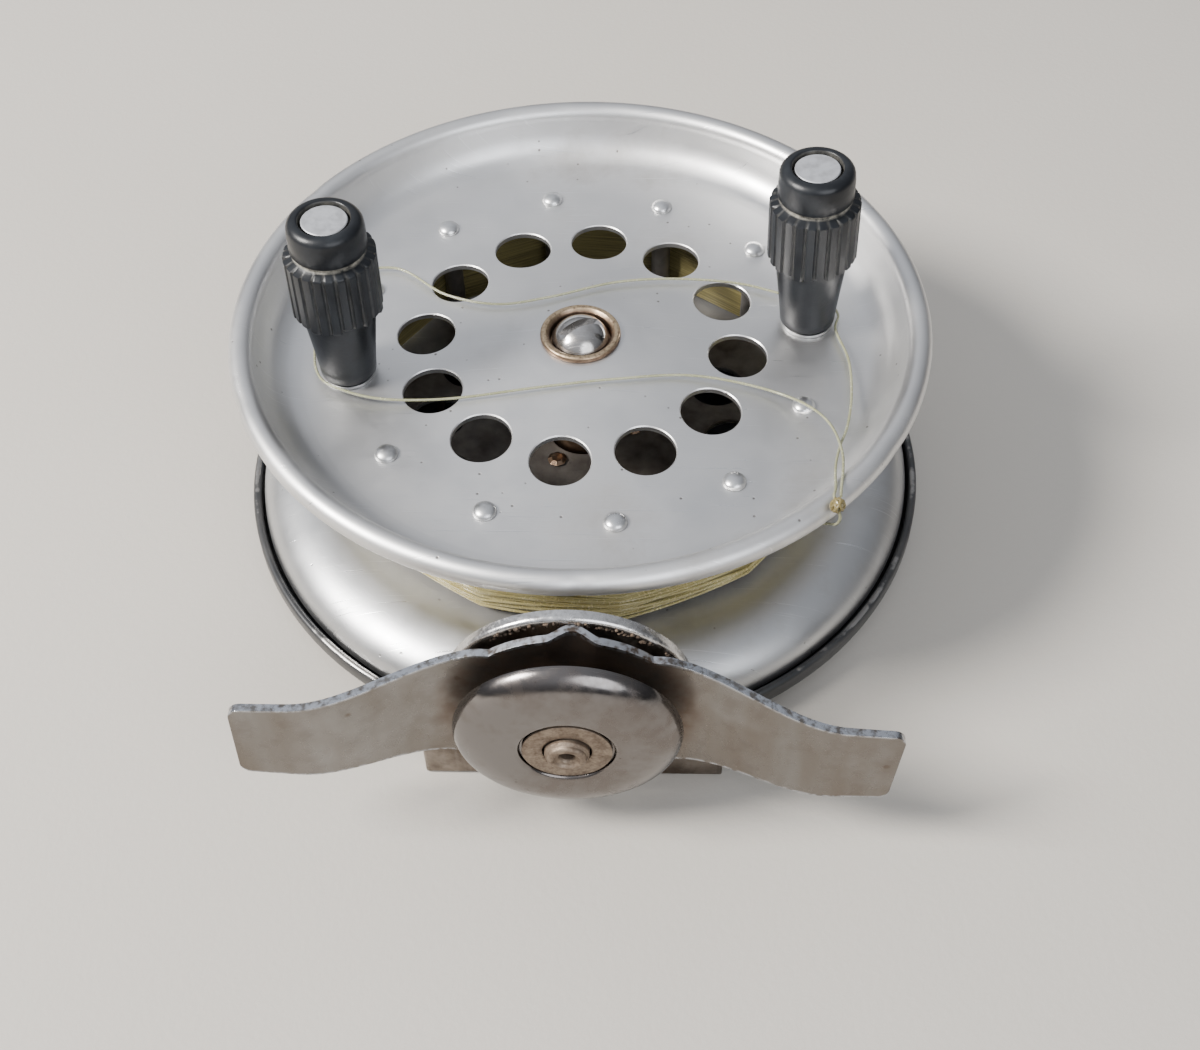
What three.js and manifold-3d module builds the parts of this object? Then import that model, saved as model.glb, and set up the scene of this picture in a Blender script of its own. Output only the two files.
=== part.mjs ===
// Side-casting line reel: a caged spool turning on a spindle, a shallow back plate,
// and a rod foot that swivels on a sprung pivot.
// Millimetres. +Z runs up along the spool's axis, -Y points towards the rod foot.
// The origin is on the spool's axis, in the flat underside that the reel rests on.

import * as THREE from 'three';
import { mergeVertices } from 'three/addons/utils/BufferGeometryUtils.js';
import Module from 'manifold-3d';

const wasm = await Module();
wasm.setup();

const DEG = Math.PI / 180;
const GAP = 0.3;

// ---- driving dimensions -------------------------------------------------

const SHEET = 1.0;

// Strap and back plate, stacked from the rest face upwards.
const STRAP_THICKNESS = 1.5;
const PLATE_BOTTOM = 1.7;
const PLATE_FLOOR = 2.6;
const PLATE_RADIUS = 51.9;
const PLATE_WALL = 1.3;
const PLATE_WALL_TOP = 5.4;

// Spool flanges: two dished pressings with rolled edges, facing apart. The front one is domed.
const FLANGE = {
  inner: 27.7,
  outer: 28.7,
  rearInner: 11.1,
  rearOuter: 10.1,
  flatRadius: 40.5,
  beadMajor: 48.2,
  beadRadius: 1.75,
  beadHeight: 34.9,
  rearBeadMajor: 48.5,
  rearBeadRadius: 1.6,
  rearBeadHeight: 4.7,
  boreRadius: 5.2,
  segments: 36,
};
const DOME = { radius: 34, flatRadius: 6.5, rise: 2.2, stations: [5.2, 6.5, 11, 16, 20, 24, 29, 34] };
const VENT = { count: 12, circle: 22.9, radius: 4.28, phase: 84.65, segments: 12 };

// The cage: pillars on one circle, with a handle spindle in two of the places.
const CAGE = { count: 12, circle: 33.9, phase: 9.5 };
const LEFT_HANDLE_PLACE = 6;
const RIGHT_HANDLE_PLACE = 0;
const PILLAR = { radius: 1.5, tenon: 1.0, hole: 1.45, head: 1.75, headHeight: 0.75, segments: 8 };

// Handles.
const HANDLE_CIRCLE = 33.7;
const HANDLE = {
  spindle: 1.75,
  hole: 2.1,
  rearTenon: 1.3,
  washer: 3.9,
  washerHeight: 0.25,
  bend: 29,
  bottom: 29.55,
  coneTop: 41.65,
  ribTop: 51.5,
  grooveTop: 52.3,
  top: 56.85,
  baseRadius: 4.0,
  coneRadius: 5.1,
  ribRadius: 6.3,
  ribRoot: 5.95,
  grooveRadius: 4.8,
  capRadius: 5.24,
  bore: 2.2,
  recessRadius: 3.5,
  recessFloor: 55.25,
  discRadius: 3.1,
  discTop: 56.55,
  ribs: 24,
  segments: 20,
};
// Both handles lean in above the bend, in degrees about Y.
const HANDLE_LEAN = { left: 0.95, right: -1.9 };

// Hub.
const SPINDLE = { radius: 3.0, flange: 8.5, flangeTop: 4.9, top: 29.9, thread: 1.7, threadDepth: 8 };
const THRUST_WASHER = { radius: 7.4, thickness: 0.8 };
const BUSH = { bottom: 6.3, radius: 4.9, bore: 3.2, rim: 5.85, rimTop: 31.75, recess: 4.5, step: 29.6 };
const SCREW = { head: 4.15, headBottom: 30.2, edge: 30.95, crown: 33.4, crownRadius: 4.75, shank: 1.4 };
const SLOT = { width: 1.4, floor: 32.0, turn: 29 };

// Click check: a ratchet wheel on the spool and a sprung pawl on the back plate.
const GEAR = { teeth: 24, tip: 12.0, root: 10.0, bottom: 8.2, top: 9.8, rivetCircle: 7.6, rivets: 3 };
// Half widths of a tooth at its root and tip, as shares of the pitch.
const TOOTH_SHARE = { root: 0.36, tip: 0.12 };
const PAWL = {
  turn: 129.5,
  pivot: 18.5,
  reach: 7.6,
  bottom: 7.9,
  top: 9.6,
  hub: 2.8,
  postRadius: 1.3,
  postShoulder: 2.4,
  bore: 1.6,
};

// Wound line and the loose end of it.
const PACK = { inner: 35.68, outer: 38.2, bottom: 12.0, top: 26.8 };
const LINE_DIAMETER = 0.42;
const KNOT = { circle: 50.55, turn: -48.2, height: 37.05, radius: 1.0, thickness: 0.5, lean: 50 };

// Bracket, foot and swivel, all measured along Y from the spool's axis.
const PIVOT_HEIGHT = 20.0;
const BRACKET = {
  front: -54.8,
  back: -53.3,
  archRadius: 16.1,
  halfWidth: 20.4,
  shoulder: 6.0,
  edgeRound: 0.5,
  channelInner: 10.0,
  channelOuter: 15.4,
  channelFloor: -54.15,
};
const FOOT = {
  turn: 3.2,
  front: -57.3,
  thickness: 1.05,
  tipFront: -63.9,
  humpRadius: 15.15,
  humpHalfChord: 10.1,
  rootHalfWidth: 11.3,
  tipHalfWidth: 6.6,
  taperStart: 12,
  taperLength: 12.5,
  bendStart: 13,
  bendEnd: 34,
  halfLength: 41.3,
  cornerRadius: 1.6,
  toothDepth: 1.9,
  toothHalfWidth: 3.0,
  toothBottom: 9.5,
};
const FOOT_WASHER = { radius: 8.0, rear: -55.1, front: -56.05 };
const PIN = {
  radius: 3.0,
  hole: 3.3,
  headRadius: 5.0,
  headFront: -53.0,
  headBack: -51.8,
  neck: 2.85,
  front: -64.8,
};
const CAP = {
  radius: 14.6,
  rear: -60.4,
  front: -63.7,
  flat: 9.0,
  recess: 6.0,
  recessFloor: -63.0,
  wall: 0.9,
};
const CAP_WASHER = { bore: 3.15, radius: 5.7, rear: -63.15, front: -63.55 };
const SPRING = { radius: 6.3, wire: 1.1, turns: 2.5, rear: -58.3, front: -61.3, steps: 36 };

// ---- geometry helpers ---------------------------------------------------

// A solid of revolution about Y from [radius, height] points; an annular profile is closed.
function latheAboutY(profile, segments) {
  const points = profile.map(([radius, height]) => new THREE.Vector2(radius, height));
  if (THREE.ShapeUtils.area(points) < 0) points.reverse();
  const onAxis = points[0].x === 0 && points[points.length - 1].x === 0;
  if (!onAxis) points.push(points[0].clone());
  return new THREE.LatheGeometry(points, segments);
}

function latheAboutZ(profile, segments) {
  return latheAboutY(profile, segments).rotateX(Math.PI / 2);
}

// A prism of a plan shape between two heights.
function prism(shape, bottom, top, curveSegments = 12) {
  const options = { depth: top - bottom, bevelEnabled: false, curveSegments };
  return new THREE.ExtrudeGeometry(shape, options).translate(0, 0, bottom);
}

function rodAboutZ(radius, bottom, top, segments, x = 0, y = 0) {
  const length = top - bottom;
  const rod = new THREE.CylinderGeometry(radius, radius, length, segments);
  return rod.rotateX(Math.PI / 2).translate(x, y, bottom + length / 2);
}

function rodAboutY(radius, rear, front, segments) {
  const length = Math.abs(front - rear);
  return new THREE.CylinderGeometry(radius, radius, length, segments).translate(0, (rear + front) / 2, 0);
}

// Points on an arc of a circle or an upright ellipse, as [radius, height] pairs.
function arcPoints(centreRadius, centreHeight, reach, fromDegrees, toDegrees, steps, rise = reach) {
  const points = [];
  for (let i = 0; i <= steps; i += 1) {
    const angle = (fromDegrees + ((toDegrees - fromDegrees) * i) / steps) * DEG;
    points.push([centreRadius + reach * Math.cos(angle), centreHeight + rise * Math.sin(angle)]);
  }
  return points;
}

function onCircle(radius, degrees) {
  return [radius * Math.cos(degrees * DEG), radius * Math.sin(degrees * DEG)];
}

function smoothstep(start, end, value) {
  const t = Math.min(1, Math.max(0, (value - start) / (end - start)));
  return t * t * (3 - 2 * t);
}

// ---- boolean helpers ----------------------------------------------------

function toSolid(geometry) {
  const bare = geometry.clone();
  bare.deleteAttribute('normal');
  bare.deleteAttribute('uv');
  const merged = mergeVertices(bare, 1e-4);
  const kept = [];
  const index = merged.index.array;
  for (let i = 0; i < index.length; i += 3) {
    const [a, b, c] = [index[i], index[i + 1], index[i + 2]];
    if (a !== b && b !== c && c !== a) kept.push(a, b, c);
  }
  const vertProperties = new Float32Array(merged.attributes.position.array);
  const triVerts = new Uint32Array(kept);
  return new wasm.Manifold(new wasm.Mesh({ numProp: 3, vertProperties, triVerts }));
}

function toGeometry(solid) {
  const mesh = solid.getMesh();
  const geometry = new THREE.BufferGeometry();
  geometry.setAttribute('position', new THREE.BufferAttribute(mesh.vertProperties, 3));
  geometry.setIndex(new THREE.BufferAttribute(mesh.triVerts, 1));
  geometry.computeVertexNormals();
  return geometry;
}

function cut(geometry, cutters) {
  let solid = toSolid(geometry);
  for (const cutter of cutters) solid = solid.subtract(toSolid(cutter));
  return toGeometry(solid);
}

function join(geometries) {
  let solid = toSolid(geometries[0]);
  for (const extra of geometries.slice(1)) solid = solid.add(toSolid(extra));
  return toGeometry(solid);
}

// ---- materials ----------------------------------------------------------

function finish(color, roughness, metalness) {
  return new THREE.MeshStandardMaterial({ color, roughness, metalness });
}

const MATERIALS = {
  aluminium: () => finish(0xb9bcbe, 0.38, 1),
  enamel: () => finish(0x2b2d2f, 0.45, 0.2),
  steel: () => finish(0x8d8983, 0.3, 1),
  chrome: () => finish(0xc4c6c9, 0.12, 1),
  brass: () => finish(0x9a7448, 0.45, 1),
  bakelite: () => finish(0x23272a, 0.4, 0),
  nylon: () => finish(0xa89a4e, 0.35, 0),
  springSteel: () => finish(0x5a4a3a, 0.5, 1),
};

const reel = new THREE.Group();

function addPart(name, geometry, material, parent = reel) {
  const mesh = new THREE.Mesh(geometry, MATERIALS[material]());
  mesh.name = name;
  parent.add(mesh);
  return mesh;
}

// ---- back plate, strap and rivets ---------------------------------------

const STRAP_RIVETS = [
  [-13, -36],
  [13, -36],
  [-7, 14],
  [7, 14],
];
const STRAP_RIVET = { shank: 1.2, hole: 1.5, sink: 2.4, sinkDepth: 1.1, head: 2.3, headTop: 3.7 };

function backPlate() {
  const wallInner = PLATE_RADIUS - PLATE_WALL;
  const profile = [
    [SPINDLE.radius + GAP, PLATE_BOTTOM],
    [PLATE_RADIUS - 1.6, PLATE_BOTTOM],
    [PLATE_RADIUS - 0.4, PLATE_BOTTOM + 0.5],
    [PLATE_RADIUS, PLATE_BOTTOM + 1.6],
    [PLATE_RADIUS, PLATE_WALL_TOP - 0.2],
    [PLATE_RADIUS - 0.3, PLATE_WALL_TOP],
    [wallInner, PLATE_WALL_TOP - 0.1],
    [wallInner, PLATE_FLOOR + 0.4],
    [wallInner - 0.4, PLATE_FLOOR],
    [SPINDLE.radius + GAP, PLATE_FLOOR],
  ];
  const holes = STRAP_RIVETS.map(([x, y]) => rodAboutZ(STRAP_RIVET.hole, 0, 4, 10, x, y));
  const [postX, postY] = onCircle(PAWL.pivot, PAWL.turn);
  holes.push(rodAboutZ(PAWL.postRadius + GAP, 0, 4, 12, postX, postY));
  const [springX, springY] = springRivetPlace();
  holes.push(rodAboutZ(SPRING_RIVET.hole, 0, 4, 10, springX, springY));
  return cut(latheAboutZ(profile, FLANGE.segments), holes);
}

function strapRivet(x, y) {
  const { shank, sink, sinkDepth, head, headTop } = STRAP_RIVET;
  const profile = [
    [0, 0],
    [sink, 0],
    [shank, sinkDepth],
    [shank, PLATE_FLOOR + GAP],
    [head, PLATE_FLOOR + GAP],
    [head * 0.85, headTop - 0.3],
    [head * 0.45, headTop],
    [0, headTop],
  ];
  return latheAboutZ(profile, 10).translate(x, y, 0);
}

// The strap's plan: wide at the bracket, narrower where it passes the spindle.
function strapPlan() {
  const { halfWidth, back } = BRACKET;
  const neck = 12.5;
  const end = 22;
  const plan = new THREE.Shape();
  plan.moveTo(-halfWidth, back - 1);
  plan.lineTo(halfWidth, back - 1);
  plan.lineTo(halfWidth, -36);
  plan.bezierCurveTo(halfWidth, -24, neck, -26, neck, -14);
  plan.lineTo(neck, end - neck);
  plan.absarc(0, end - neck, neck, 0, Math.PI, false);
  plan.lineTo(-neck, -14);
  plan.bezierCurveTo(-neck, -26, -halfWidth, -24, -halfWidth, -36);
  plan.closePath();
  return plan;
}

// The upright plate: an arch about the pivot that widens to the strap, with a rounded front edge.
function uprightPlate() {
  const { front, back, archRadius, halfWidth, shoulder, edgeRound } = BRACKET;
  const drop = PIVOT_HEIGHT - shoulder;
  const reach = Math.hypot(halfWidth, drop);
  const tangent = Math.acos(archRadius / reach) - Math.atan2(drop, halfWidth);
  const outline = new THREE.Shape();
  outline.moveTo(-halfWidth, 0);
  outline.lineTo(halfWidth, 0);
  outline.lineTo(halfWidth, shoulder);
  outline.absarc(0, PIVOT_HEIGHT, archRadius, tangent, Math.PI - tangent, false);
  outline.lineTo(-halfWidth, shoulder);
  outline.closePath();
  const depth = back - front + 2;
  const options = {
    depth,
    curveSegments: 16,
    bevelEnabled: true,
    bevelThickness: edgeRound,
    bevelSize: edgeRound,
    bevelOffset: -edgeRound,
    bevelSegments: 3,
  };
  const slab = new THREE.ExtrudeGeometry(outline, options).rotateX(Math.PI / 2);
  slab.translate(0, front + edgeRound + depth, 0);
  const behind = new THREE.BoxGeometry(60, 20, 60).translate(0, back + 10, 20);
  return cut(slab, [behind]);
}

function footBracket() {
  const { front, channelInner, channelOuter, channelFloor } = BRACKET;
  const joined = join([uprightPlate(), prism(strapPlan(), 0, STRAP_THICKNESS)]);
  const channel = latheAboutY(
    [
      [channelInner, front - 1],
      [channelOuter, front - 1],
      [channelOuter, channelFloor - 0.4],
      [channelOuter - 0.4, channelFloor],
      [channelInner + 0.4, channelFloor],
      [channelInner, channelFloor - 0.4],
    ],
    36,
  ).translate(0, 0, PIVOT_HEIGHT);
  const pinHole = rodAboutY(PIN.hole, front - 2, BRACKET.back + 2, 20).translate(0, 0, PIVOT_HEIGHT);
  const spindleHole = rodAboutZ(SPINDLE.radius + GAP, -1, 3, 24);
  const rivetHoles = STRAP_RIVETS.map(([x, y]) => {
    const { hole, sink, sinkDepth } = STRAP_RIVET;
    const profile = [
      [0, -0.2],
      [sink + GAP, -0.2],
      [sink + GAP, 0],
      [hole, sinkDepth],
      [hole, 3],
      [0, 3],
    ];
    return latheAboutZ(profile, 12).translate(x, y, 0);
  });
  return cut(joined, [channel, pinHole, spindleHole, ...rivetHoles]);
}

// ---- spindle, screw and washer ------------------------------------------

function spindle() {
  const { radius, flange, flangeTop, top, thread, threadDepth } = SPINDLE;
  const profile = [
    [0, 0],
    [radius, 0],
    [radius, PLATE_FLOOR + GAP],
    [flange, PLATE_FLOOR + GAP],
    [flange, flangeTop],
    [radius, flangeTop],
    [radius, top - 0.4],
    [radius - 0.4, top],
    [thread, top],
    [thread, top - threadDepth],
    [0, top - threadDepth],
  ];
  return latheAboutZ(profile, 20);
}

function thrustWasher() {
  const bottom = SPINDLE.flangeTop + GAP;
  const top = bottom + THRUST_WASHER.thickness;
  const profile = [
    [BUSH.bore, bottom],
    [THRUST_WASHER.radius, bottom],
    [THRUST_WASHER.radius, top],
    [BUSH.bore, top],
  ];
  return latheAboutZ(profile, 16);
}

function spoolScrew() {
  const { head, headBottom, edge, crown, crownRadius, shank } = SCREW;
  const shankEnd = SPINDLE.top - SPINDLE.threadDepth + 0.6;
  const crownEdge = Math.acos((head - 0.15) / crownRadius) / DEG;
  const profile = [
    [0, shankEnd],
    [shank, shankEnd],
    [shank, headBottom],
    [head - 0.2, headBottom],
    [head, headBottom + 0.3],
    [head, edge],
    ...arcPoints(0, crown - crownRadius, crownRadius, crownEdge, 90, 6),
  ];
  profile[profile.length - 1][0] = 0;
  const slot = new THREE.BoxGeometry(2 * head + 2, SLOT.width, 4);
  slot.rotateZ(SLOT.turn * DEG).translate(0, 0, SLOT.floor + 2);
  return cut(latheAboutZ(profile, 20), [slot]);
}

// ---- spool --------------------------------------------------------------

// How far the domed floor of the front flange stands above its flat border.
function domeLift(radius) {
  const inward = (DOME.radius - Math.max(DOME.flatRadius, radius)) / (DOME.radius - DOME.flatRadius);
  return DOME.rise * inward ** 2;
}

// The front flange opens upwards: domed floor, curved wall and rolled bead.
function flangeProfile() {
  const { inner, outer, flatRadius, beadMajor, beadRadius, beadHeight } = FLANGE;
  const domed = (height) => DOME.stations.map((radius) => [radius, height + domeLift(radius)]);
  return [
    ...domed(outer),
    [flatRadius, outer],
    [42.6, outer + 0.35],
    [44.5, outer + 1.6],
    [45.7, outer + 3.4],
    ...arcPoints(beadMajor, beadHeight, beadRadius, 190, -110, 7),
    [46.7, inner + 4.0],
    [45.3, inner + 1.7],
    [42.9, inner + 0.25],
    [flatRadius, inner],
    ...domed(inner).reverse(),
  ];
}

// The rear flange opens downwards: flat floor and a full round shoulder with its edge rolled in.
function rearFlangeProfile() {
  const { rearInner, rearOuter, flatRadius, rearBeadMajor, rearBeadRadius, rearBeadHeight } = FLANGE;
  const { boreRadius } = FLANGE;
  const reach = rearBeadMajor + rearBeadRadius - flatRadius;
  const rise = rearInner - rearBeadHeight;
  return [
    [boreRadius, rearInner],
    ...arcPoints(flatRadius, rearBeadHeight, reach, 90, 0, 8, rise),
    ...arcPoints(rearBeadMajor, rearBeadHeight, rearBeadRadius, -40, -240, 5),
    ...arcPoints(flatRadius, rearBeadHeight, reach - SHEET, 25, 90, 5, rise - SHEET),
    [boreRadius, rearOuter],
  ];
}

const REAR_TENON_HOLE = HANDLE.rearTenon + GAP;
const GEAR_RIVET = { radius: 0.8, hole: 1.05, head: 1.5 };

function gearRivetHoles() {
  const holes = [];
  for (let i = 0; i < GEAR.rivets; i += 1) {
    const [x, y] = onCircle(GEAR.rivetCircle, (360 / GEAR.rivets) * i);
    holes.push(rodAboutZ(GEAR_RIVET.hole, 0, 20, 8, x, y));
  }
  return holes;
}

function flange(profile, handleHole, holes = []) {
  const floorLow = 5;
  const floorHigh = 33;
  for (let i = 0; i < VENT.count; i += 1) {
    const [x, y] = onCircle(VENT.circle, VENT.phase + (360 / VENT.count) * i);
    holes.push(rodAboutZ(VENT.radius, floorLow, floorHigh, VENT.segments, x, y));
  }
  for (let i = 0; i < CAGE.count; i += 1) {
    const isHandle = i === LEFT_HANDLE_PLACE || i === RIGHT_HANDLE_PLACE;
    const circle = isHandle ? HANDLE_CIRCLE : CAGE.circle;
    const [x, y] = onCircle(circle, CAGE.phase + (360 / CAGE.count) * i);
    holes.push(rodAboutZ(isHandle ? handleHole : PILLAR.hole, floorLow, floorHigh, 6, x, y));
  }
  return cut(latheAboutZ(profile, FLANGE.segments), holes);
}

function pillar(x, y) {
  const { radius, tenon, head, headHeight, segments } = PILLAR;
  const rear = FLANGE.rearOuter - GAP;
  const front = FLANGE.outer + GAP;
  const profile = [
    [0, rear - headHeight],
    [head, rear],
    [tenon, rear],
    [tenon, FLANGE.rearInner + GAP],
    [radius, FLANGE.rearInner + GAP],
    [radius, FLANGE.inner - GAP],
    [tenon, FLANGE.inner - GAP],
    [tenon, front],
    [head, front],
    [head * 0.6, front + headHeight * 0.8],
    [0, front + headHeight],
  ];
  return latheAboutZ(profile, segments).translate(x, y, 0);
}

function hubBush() {
  const { bottom, radius, bore, rim, rimTop, recess, step } = BUSH;
  const seat = FLANGE.outer + DOME.rise + GAP;
  const profile = [
    [bore, bottom],
    [radius, bottom],
    [radius, seat],
    [rim - 0.1, seat],
    [rim, rimTop - 0.3],
    [rim - 0.5, rimTop],
    [recess + 0.5, rimTop],
    [recess, rimTop - 0.5],
    [recess, step],
    [bore, step],
  ];
  return latheAboutZ(profile, 20);
}

// The wound line: a ring whose flats span from pillar to pillar.
function linePack() {
  const { inner, outer, bottom, top } = PACK;
  const profile = [
    [inner, bottom],
    [outer - 0.7, bottom],
    [outer, bottom + 1.6],
    [outer, top - 1.6],
    [outer - 0.7, top],
    [inner, top],
  ];
  // LatheGeometry starts its first corner on +Z, which the turn about X carries to -Y.
  return latheAboutZ(profile, CAGE.count).rotateZ((90 + CAGE.phase) * DEG);
}

// ---- handles ------------------------------------------------------------

// Tilts everything above the bend by some degrees about Y.
function bent(geometry, lean) {
  const place = geometry.attributes.position;
  const [sine, cosine] = [Math.sin(lean * DEG), Math.cos(lean * DEG)];
  for (let i = 0; i < place.count; i += 1) {
    const [x, above] = [place.getX(i), place.getZ(i) - HANDLE.bend];
    if (above > 0) place.setX(i, x * cosine + above * sine);
    if (above > 0) place.setZ(i, HANDLE.bend + above * cosine - x * sine);
  }
  return geometry;
}

// Square to the flanges below the bend, leaning above it.
function handleSpindle(lean) {
  const { rearTenon, spindle: radius, bend, recessFloor, discRadius, discTop } = HANDLE;
  const rear = FLANGE.rearOuter - GAP;
  const profile = [
    [0, rear - 0.95],
    [1.2, rear - 0.75],
    [2.0, rear],
    [rearTenon, rear],
    [rearTenon, FLANGE.rearInner + GAP],
    [radius, FLANGE.rearInner + GAP],
    [radius, bend],
    [radius, recessFloor + GAP],
    [discRadius, recessFloor + GAP],
    [discRadius, discTop - 0.15],
    [discRadius - 0.15, discTop],
    [0, discTop],
  ];
  return bent(latheAboutZ(profile, 12), lean);
}

function handleWasher() {
  const bottom = FLANGE.outer + GAP;
  const profile = [
    [HANDLE.hole, bottom],
    [HANDLE.washer, bottom],
    [HANDLE.washer, bottom + HANDLE.washerHeight],
    [HANDLE.hole, bottom + HANDLE.washerHeight],
  ];
  return latheAboutZ(profile, 14);
}

function ribbedOutline() {
  const { ribs, ribRadius, ribRoot } = HANDLE;
  const step = 360 / ribs;
  const corners = [
    [ribRoot, -0.37],
    [ribRadius, -0.33],
    [ribRadius, 0.33],
    [ribRoot, 0.37],
  ];
  const points = [];
  for (let i = 0; i < ribs; i += 1) {
    for (const [radius, share] of corners) {
      const [x, y] = onCircle(radius, (i + share) * step);
      points.push(new THREE.Vector2(x, y));
    }
  }
  return new THREE.Shape(points);
}

function grip() {
  const h = HANDLE;
  const profile = [
    [h.bore, h.bottom],
    [h.baseRadius, h.bottom],
    [h.coneRadius, h.coneTop],
    [h.coneRadius, h.ribTop],
    [h.grooveRadius, h.ribTop + 0.1],
    [h.grooveRadius, h.grooveTop - 0.1],
    [h.capRadius, h.grooveTop],
    [h.capRadius, h.top - 1.7],
    [h.capRadius - 0.45, h.top - 0.6],
    [h.capRadius - 1.3, h.top],
    [h.recessRadius, h.top - 0.1],
    [h.recessRadius, h.recessFloor],
    [h.bore, h.recessFloor],
  ];
  const bored = toSolid(latheAboutZ(profile, h.segments));
  const boreRod = toSolid(rodAboutZ(h.ribRoot - 1.2, h.bottom, h.top, h.segments));
  const ribs = toSolid(prism(ribbedOutline(), h.coneTop, h.ribTop));
  return toGeometry(bored.add(ribs.subtract(boreRod)));
}

// ---- click check --------------------------------------------------------

function clickGear() {
  const { teeth, tip, root, bottom, top } = GEAR;
  const step = 360 / teeth;
  const corners = [
    [root, -TOOTH_SHARE.root],
    [tip, -TOOTH_SHARE.tip],
    [tip, TOOTH_SHARE.tip],
    [root, TOOTH_SHARE.root],
  ];
  const points = [];
  for (let i = 0; i < teeth; i += 1) {
    const centre = PAWL.turn + (i + 0.5) * step;
    for (const [radius, share] of corners) {
      const [x, y] = onCircle(radius, centre + share * step);
      points.push(new THREE.Vector2(x, y));
    }
  }
  const wheel = prism(new THREE.Shape(points), bottom, top);
  return cut(wheel, [rodAboutZ(FLANGE.boreRadius, 0, 20, 24), ...gearRivetHoles()]);
}

function gearRivet(x, y) {
  const { radius, head } = GEAR_RIVET;
  const rear = GEAR.bottom - GAP;
  const front = FLANGE.rearInner + GAP;
  const profile = [
    [0, rear - 0.5],
    [head * 0.6, rear - 0.4],
    [head, rear],
    [radius, rear],
    [radius, front],
    [head, front],
    [head * 0.6, front + 0.4],
    [0, front + 0.5],
  ];
  return latheAboutZ(profile, 8).translate(x, y, 0);
}

// Drawn with the wheel's centre towards -X, then turned into place.
function pawl() {
  const { reach, bottom, top, hub, bore } = PAWL;
  const tipHalfWidth = 0.22;
  const plan = new THREE.Shape();
  plan.moveTo(-reach, tipHalfWidth);
  plan.lineTo(-reach, -tipHalfWidth);
  plan.lineTo(-reach + 1.6, -0.7);
  plan.lineTo(-1.2, -hub + 0.25);
  plan.absarc(0, 0, hub, -115 * DEG, -50 * DEG, false);
  plan.lineTo(hub, -1.6);
  plan.lineTo(hub, 1.6);
  plan.absarc(0, 0, hub, 50 * DEG, 115 * DEG, false);
  plan.lineTo(-reach + 1.6, 0.7);
  plan.closePath();
  return cut(prism(plan, bottom, top, 6), [rodAboutZ(bore, 0, 20, 16)]);
}

function pawlPost() {
  const { postRadius, postShoulder, bottom, top } = PAWL;
  const profile = [
    [0, PLATE_BOTTOM],
    [postRadius, PLATE_BOTTOM],
    [postRadius, PLATE_FLOOR + GAP],
    [postShoulder, PLATE_FLOOR + GAP],
    [postShoulder, bottom - GAP],
    [postRadius, bottom - GAP],
    [postRadius, top + 0.1],
    [0, top + 0.1],
  ];
  return latheAboutZ(profile, 12);
}

const SPRING_RIVET = { radius: 0.9, hole: 1.2, head: 1.7, along: 9.5 };
const LEAF = { offset: 4.0, thickness: 0.5, overlap: 4.5, top: 9.3, lugRadius: 2.9, lugHeight: 0.8 };

function springRivetPlace() {
  const [x, y] = [PAWL.pivot + LEAF.offset, SPRING_RIVET.along];
  const turn = PAWL.turn * DEG;
  return [x * Math.cos(turn) - y * Math.sin(turn), x * Math.sin(turn) + y * Math.cos(turn)];
}

// A leaf standing on edge behind the pawl's heel, with a lug riveted to the back plate.
function clickSpring() {
  const { offset, thickness, overlap, top, lugRadius, lugHeight } = LEAF;
  const foot = PLATE_FLOOR + GAP;
  const leafPlan = new THREE.Shape();
  leafPlan.moveTo(offset - thickness / 2, -overlap);
  leafPlan.lineTo(offset + thickness / 2, -overlap);
  leafPlan.lineTo(offset + thickness / 2, SPRING_RIVET.along - 1.8);
  leafPlan.lineTo(offset - thickness / 2, SPRING_RIVET.along - 1.8);
  leafPlan.closePath();
  const lug = rodAboutZ(lugRadius, foot, foot + lugHeight, 16, offset, SPRING_RIVET.along);
  const joined = join([prism(leafPlan, foot, top), lug]);
  return cut(joined, [rodAboutZ(SPRING_RIVET.hole, 0, 6, 10, offset, SPRING_RIVET.along)]);
}

function clickSpringRivet() {
  const { radius, head } = SPRING_RIVET;
  const seat = PLATE_FLOOR + GAP + LEAF.lugHeight + GAP;
  const profile = [
    [0, PLATE_BOTTOM],
    [radius, PLATE_BOTTOM],
    [radius, seat],
    [head, seat],
    [head * 0.6, seat + 0.7],
    [0, seat + 0.8],
  ];
  return latheAboutZ(profile, 10);
}

// ---- foot and swivel ----------------------------------------------------

// A round hump in the middle, then wings that narrow towards square tips.
function footHalfWidth(x) {
  const { humpRadius, humpHalfChord, rootHalfWidth, tipHalfWidth, cornerRadius, halfLength } = FOOT;
  if (x < humpHalfChord) return Math.sqrt(humpRadius ** 2 - x ** 2);
  const narrowing = Math.exp(-Math.max(0, x - FOOT.taperStart) / FOOT.taperLength);
  const width = tipHalfWidth + (rootHalfWidth - tipHalfWidth) * narrowing;
  const pastCorner = Math.max(0, x - (halfLength - cornerRadius));
  return width - (cornerRadius - Math.sqrt(Math.max(0, cornerRadius ** 2 - pastCorner ** 2)));
}

function footFront(x) {
  return FOOT.front + (FOOT.tipFront - FOOT.front) * smoothstep(FOOT.bendStart, FOOT.bendEnd, x);
}

// The pressed tooth that drops into the bracket's channel.
function toothDepth(x, height) {
  const across = Math.max(0, 1 - x / FOOT.toothHalfWidth);
  const up = (height - FOOT.toothBottom) / (FOOT.humpRadius - FOOT.toothBottom);
  return FOOT.toothDepth * across * Math.min(1, Math.max(0, up));
}

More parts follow.
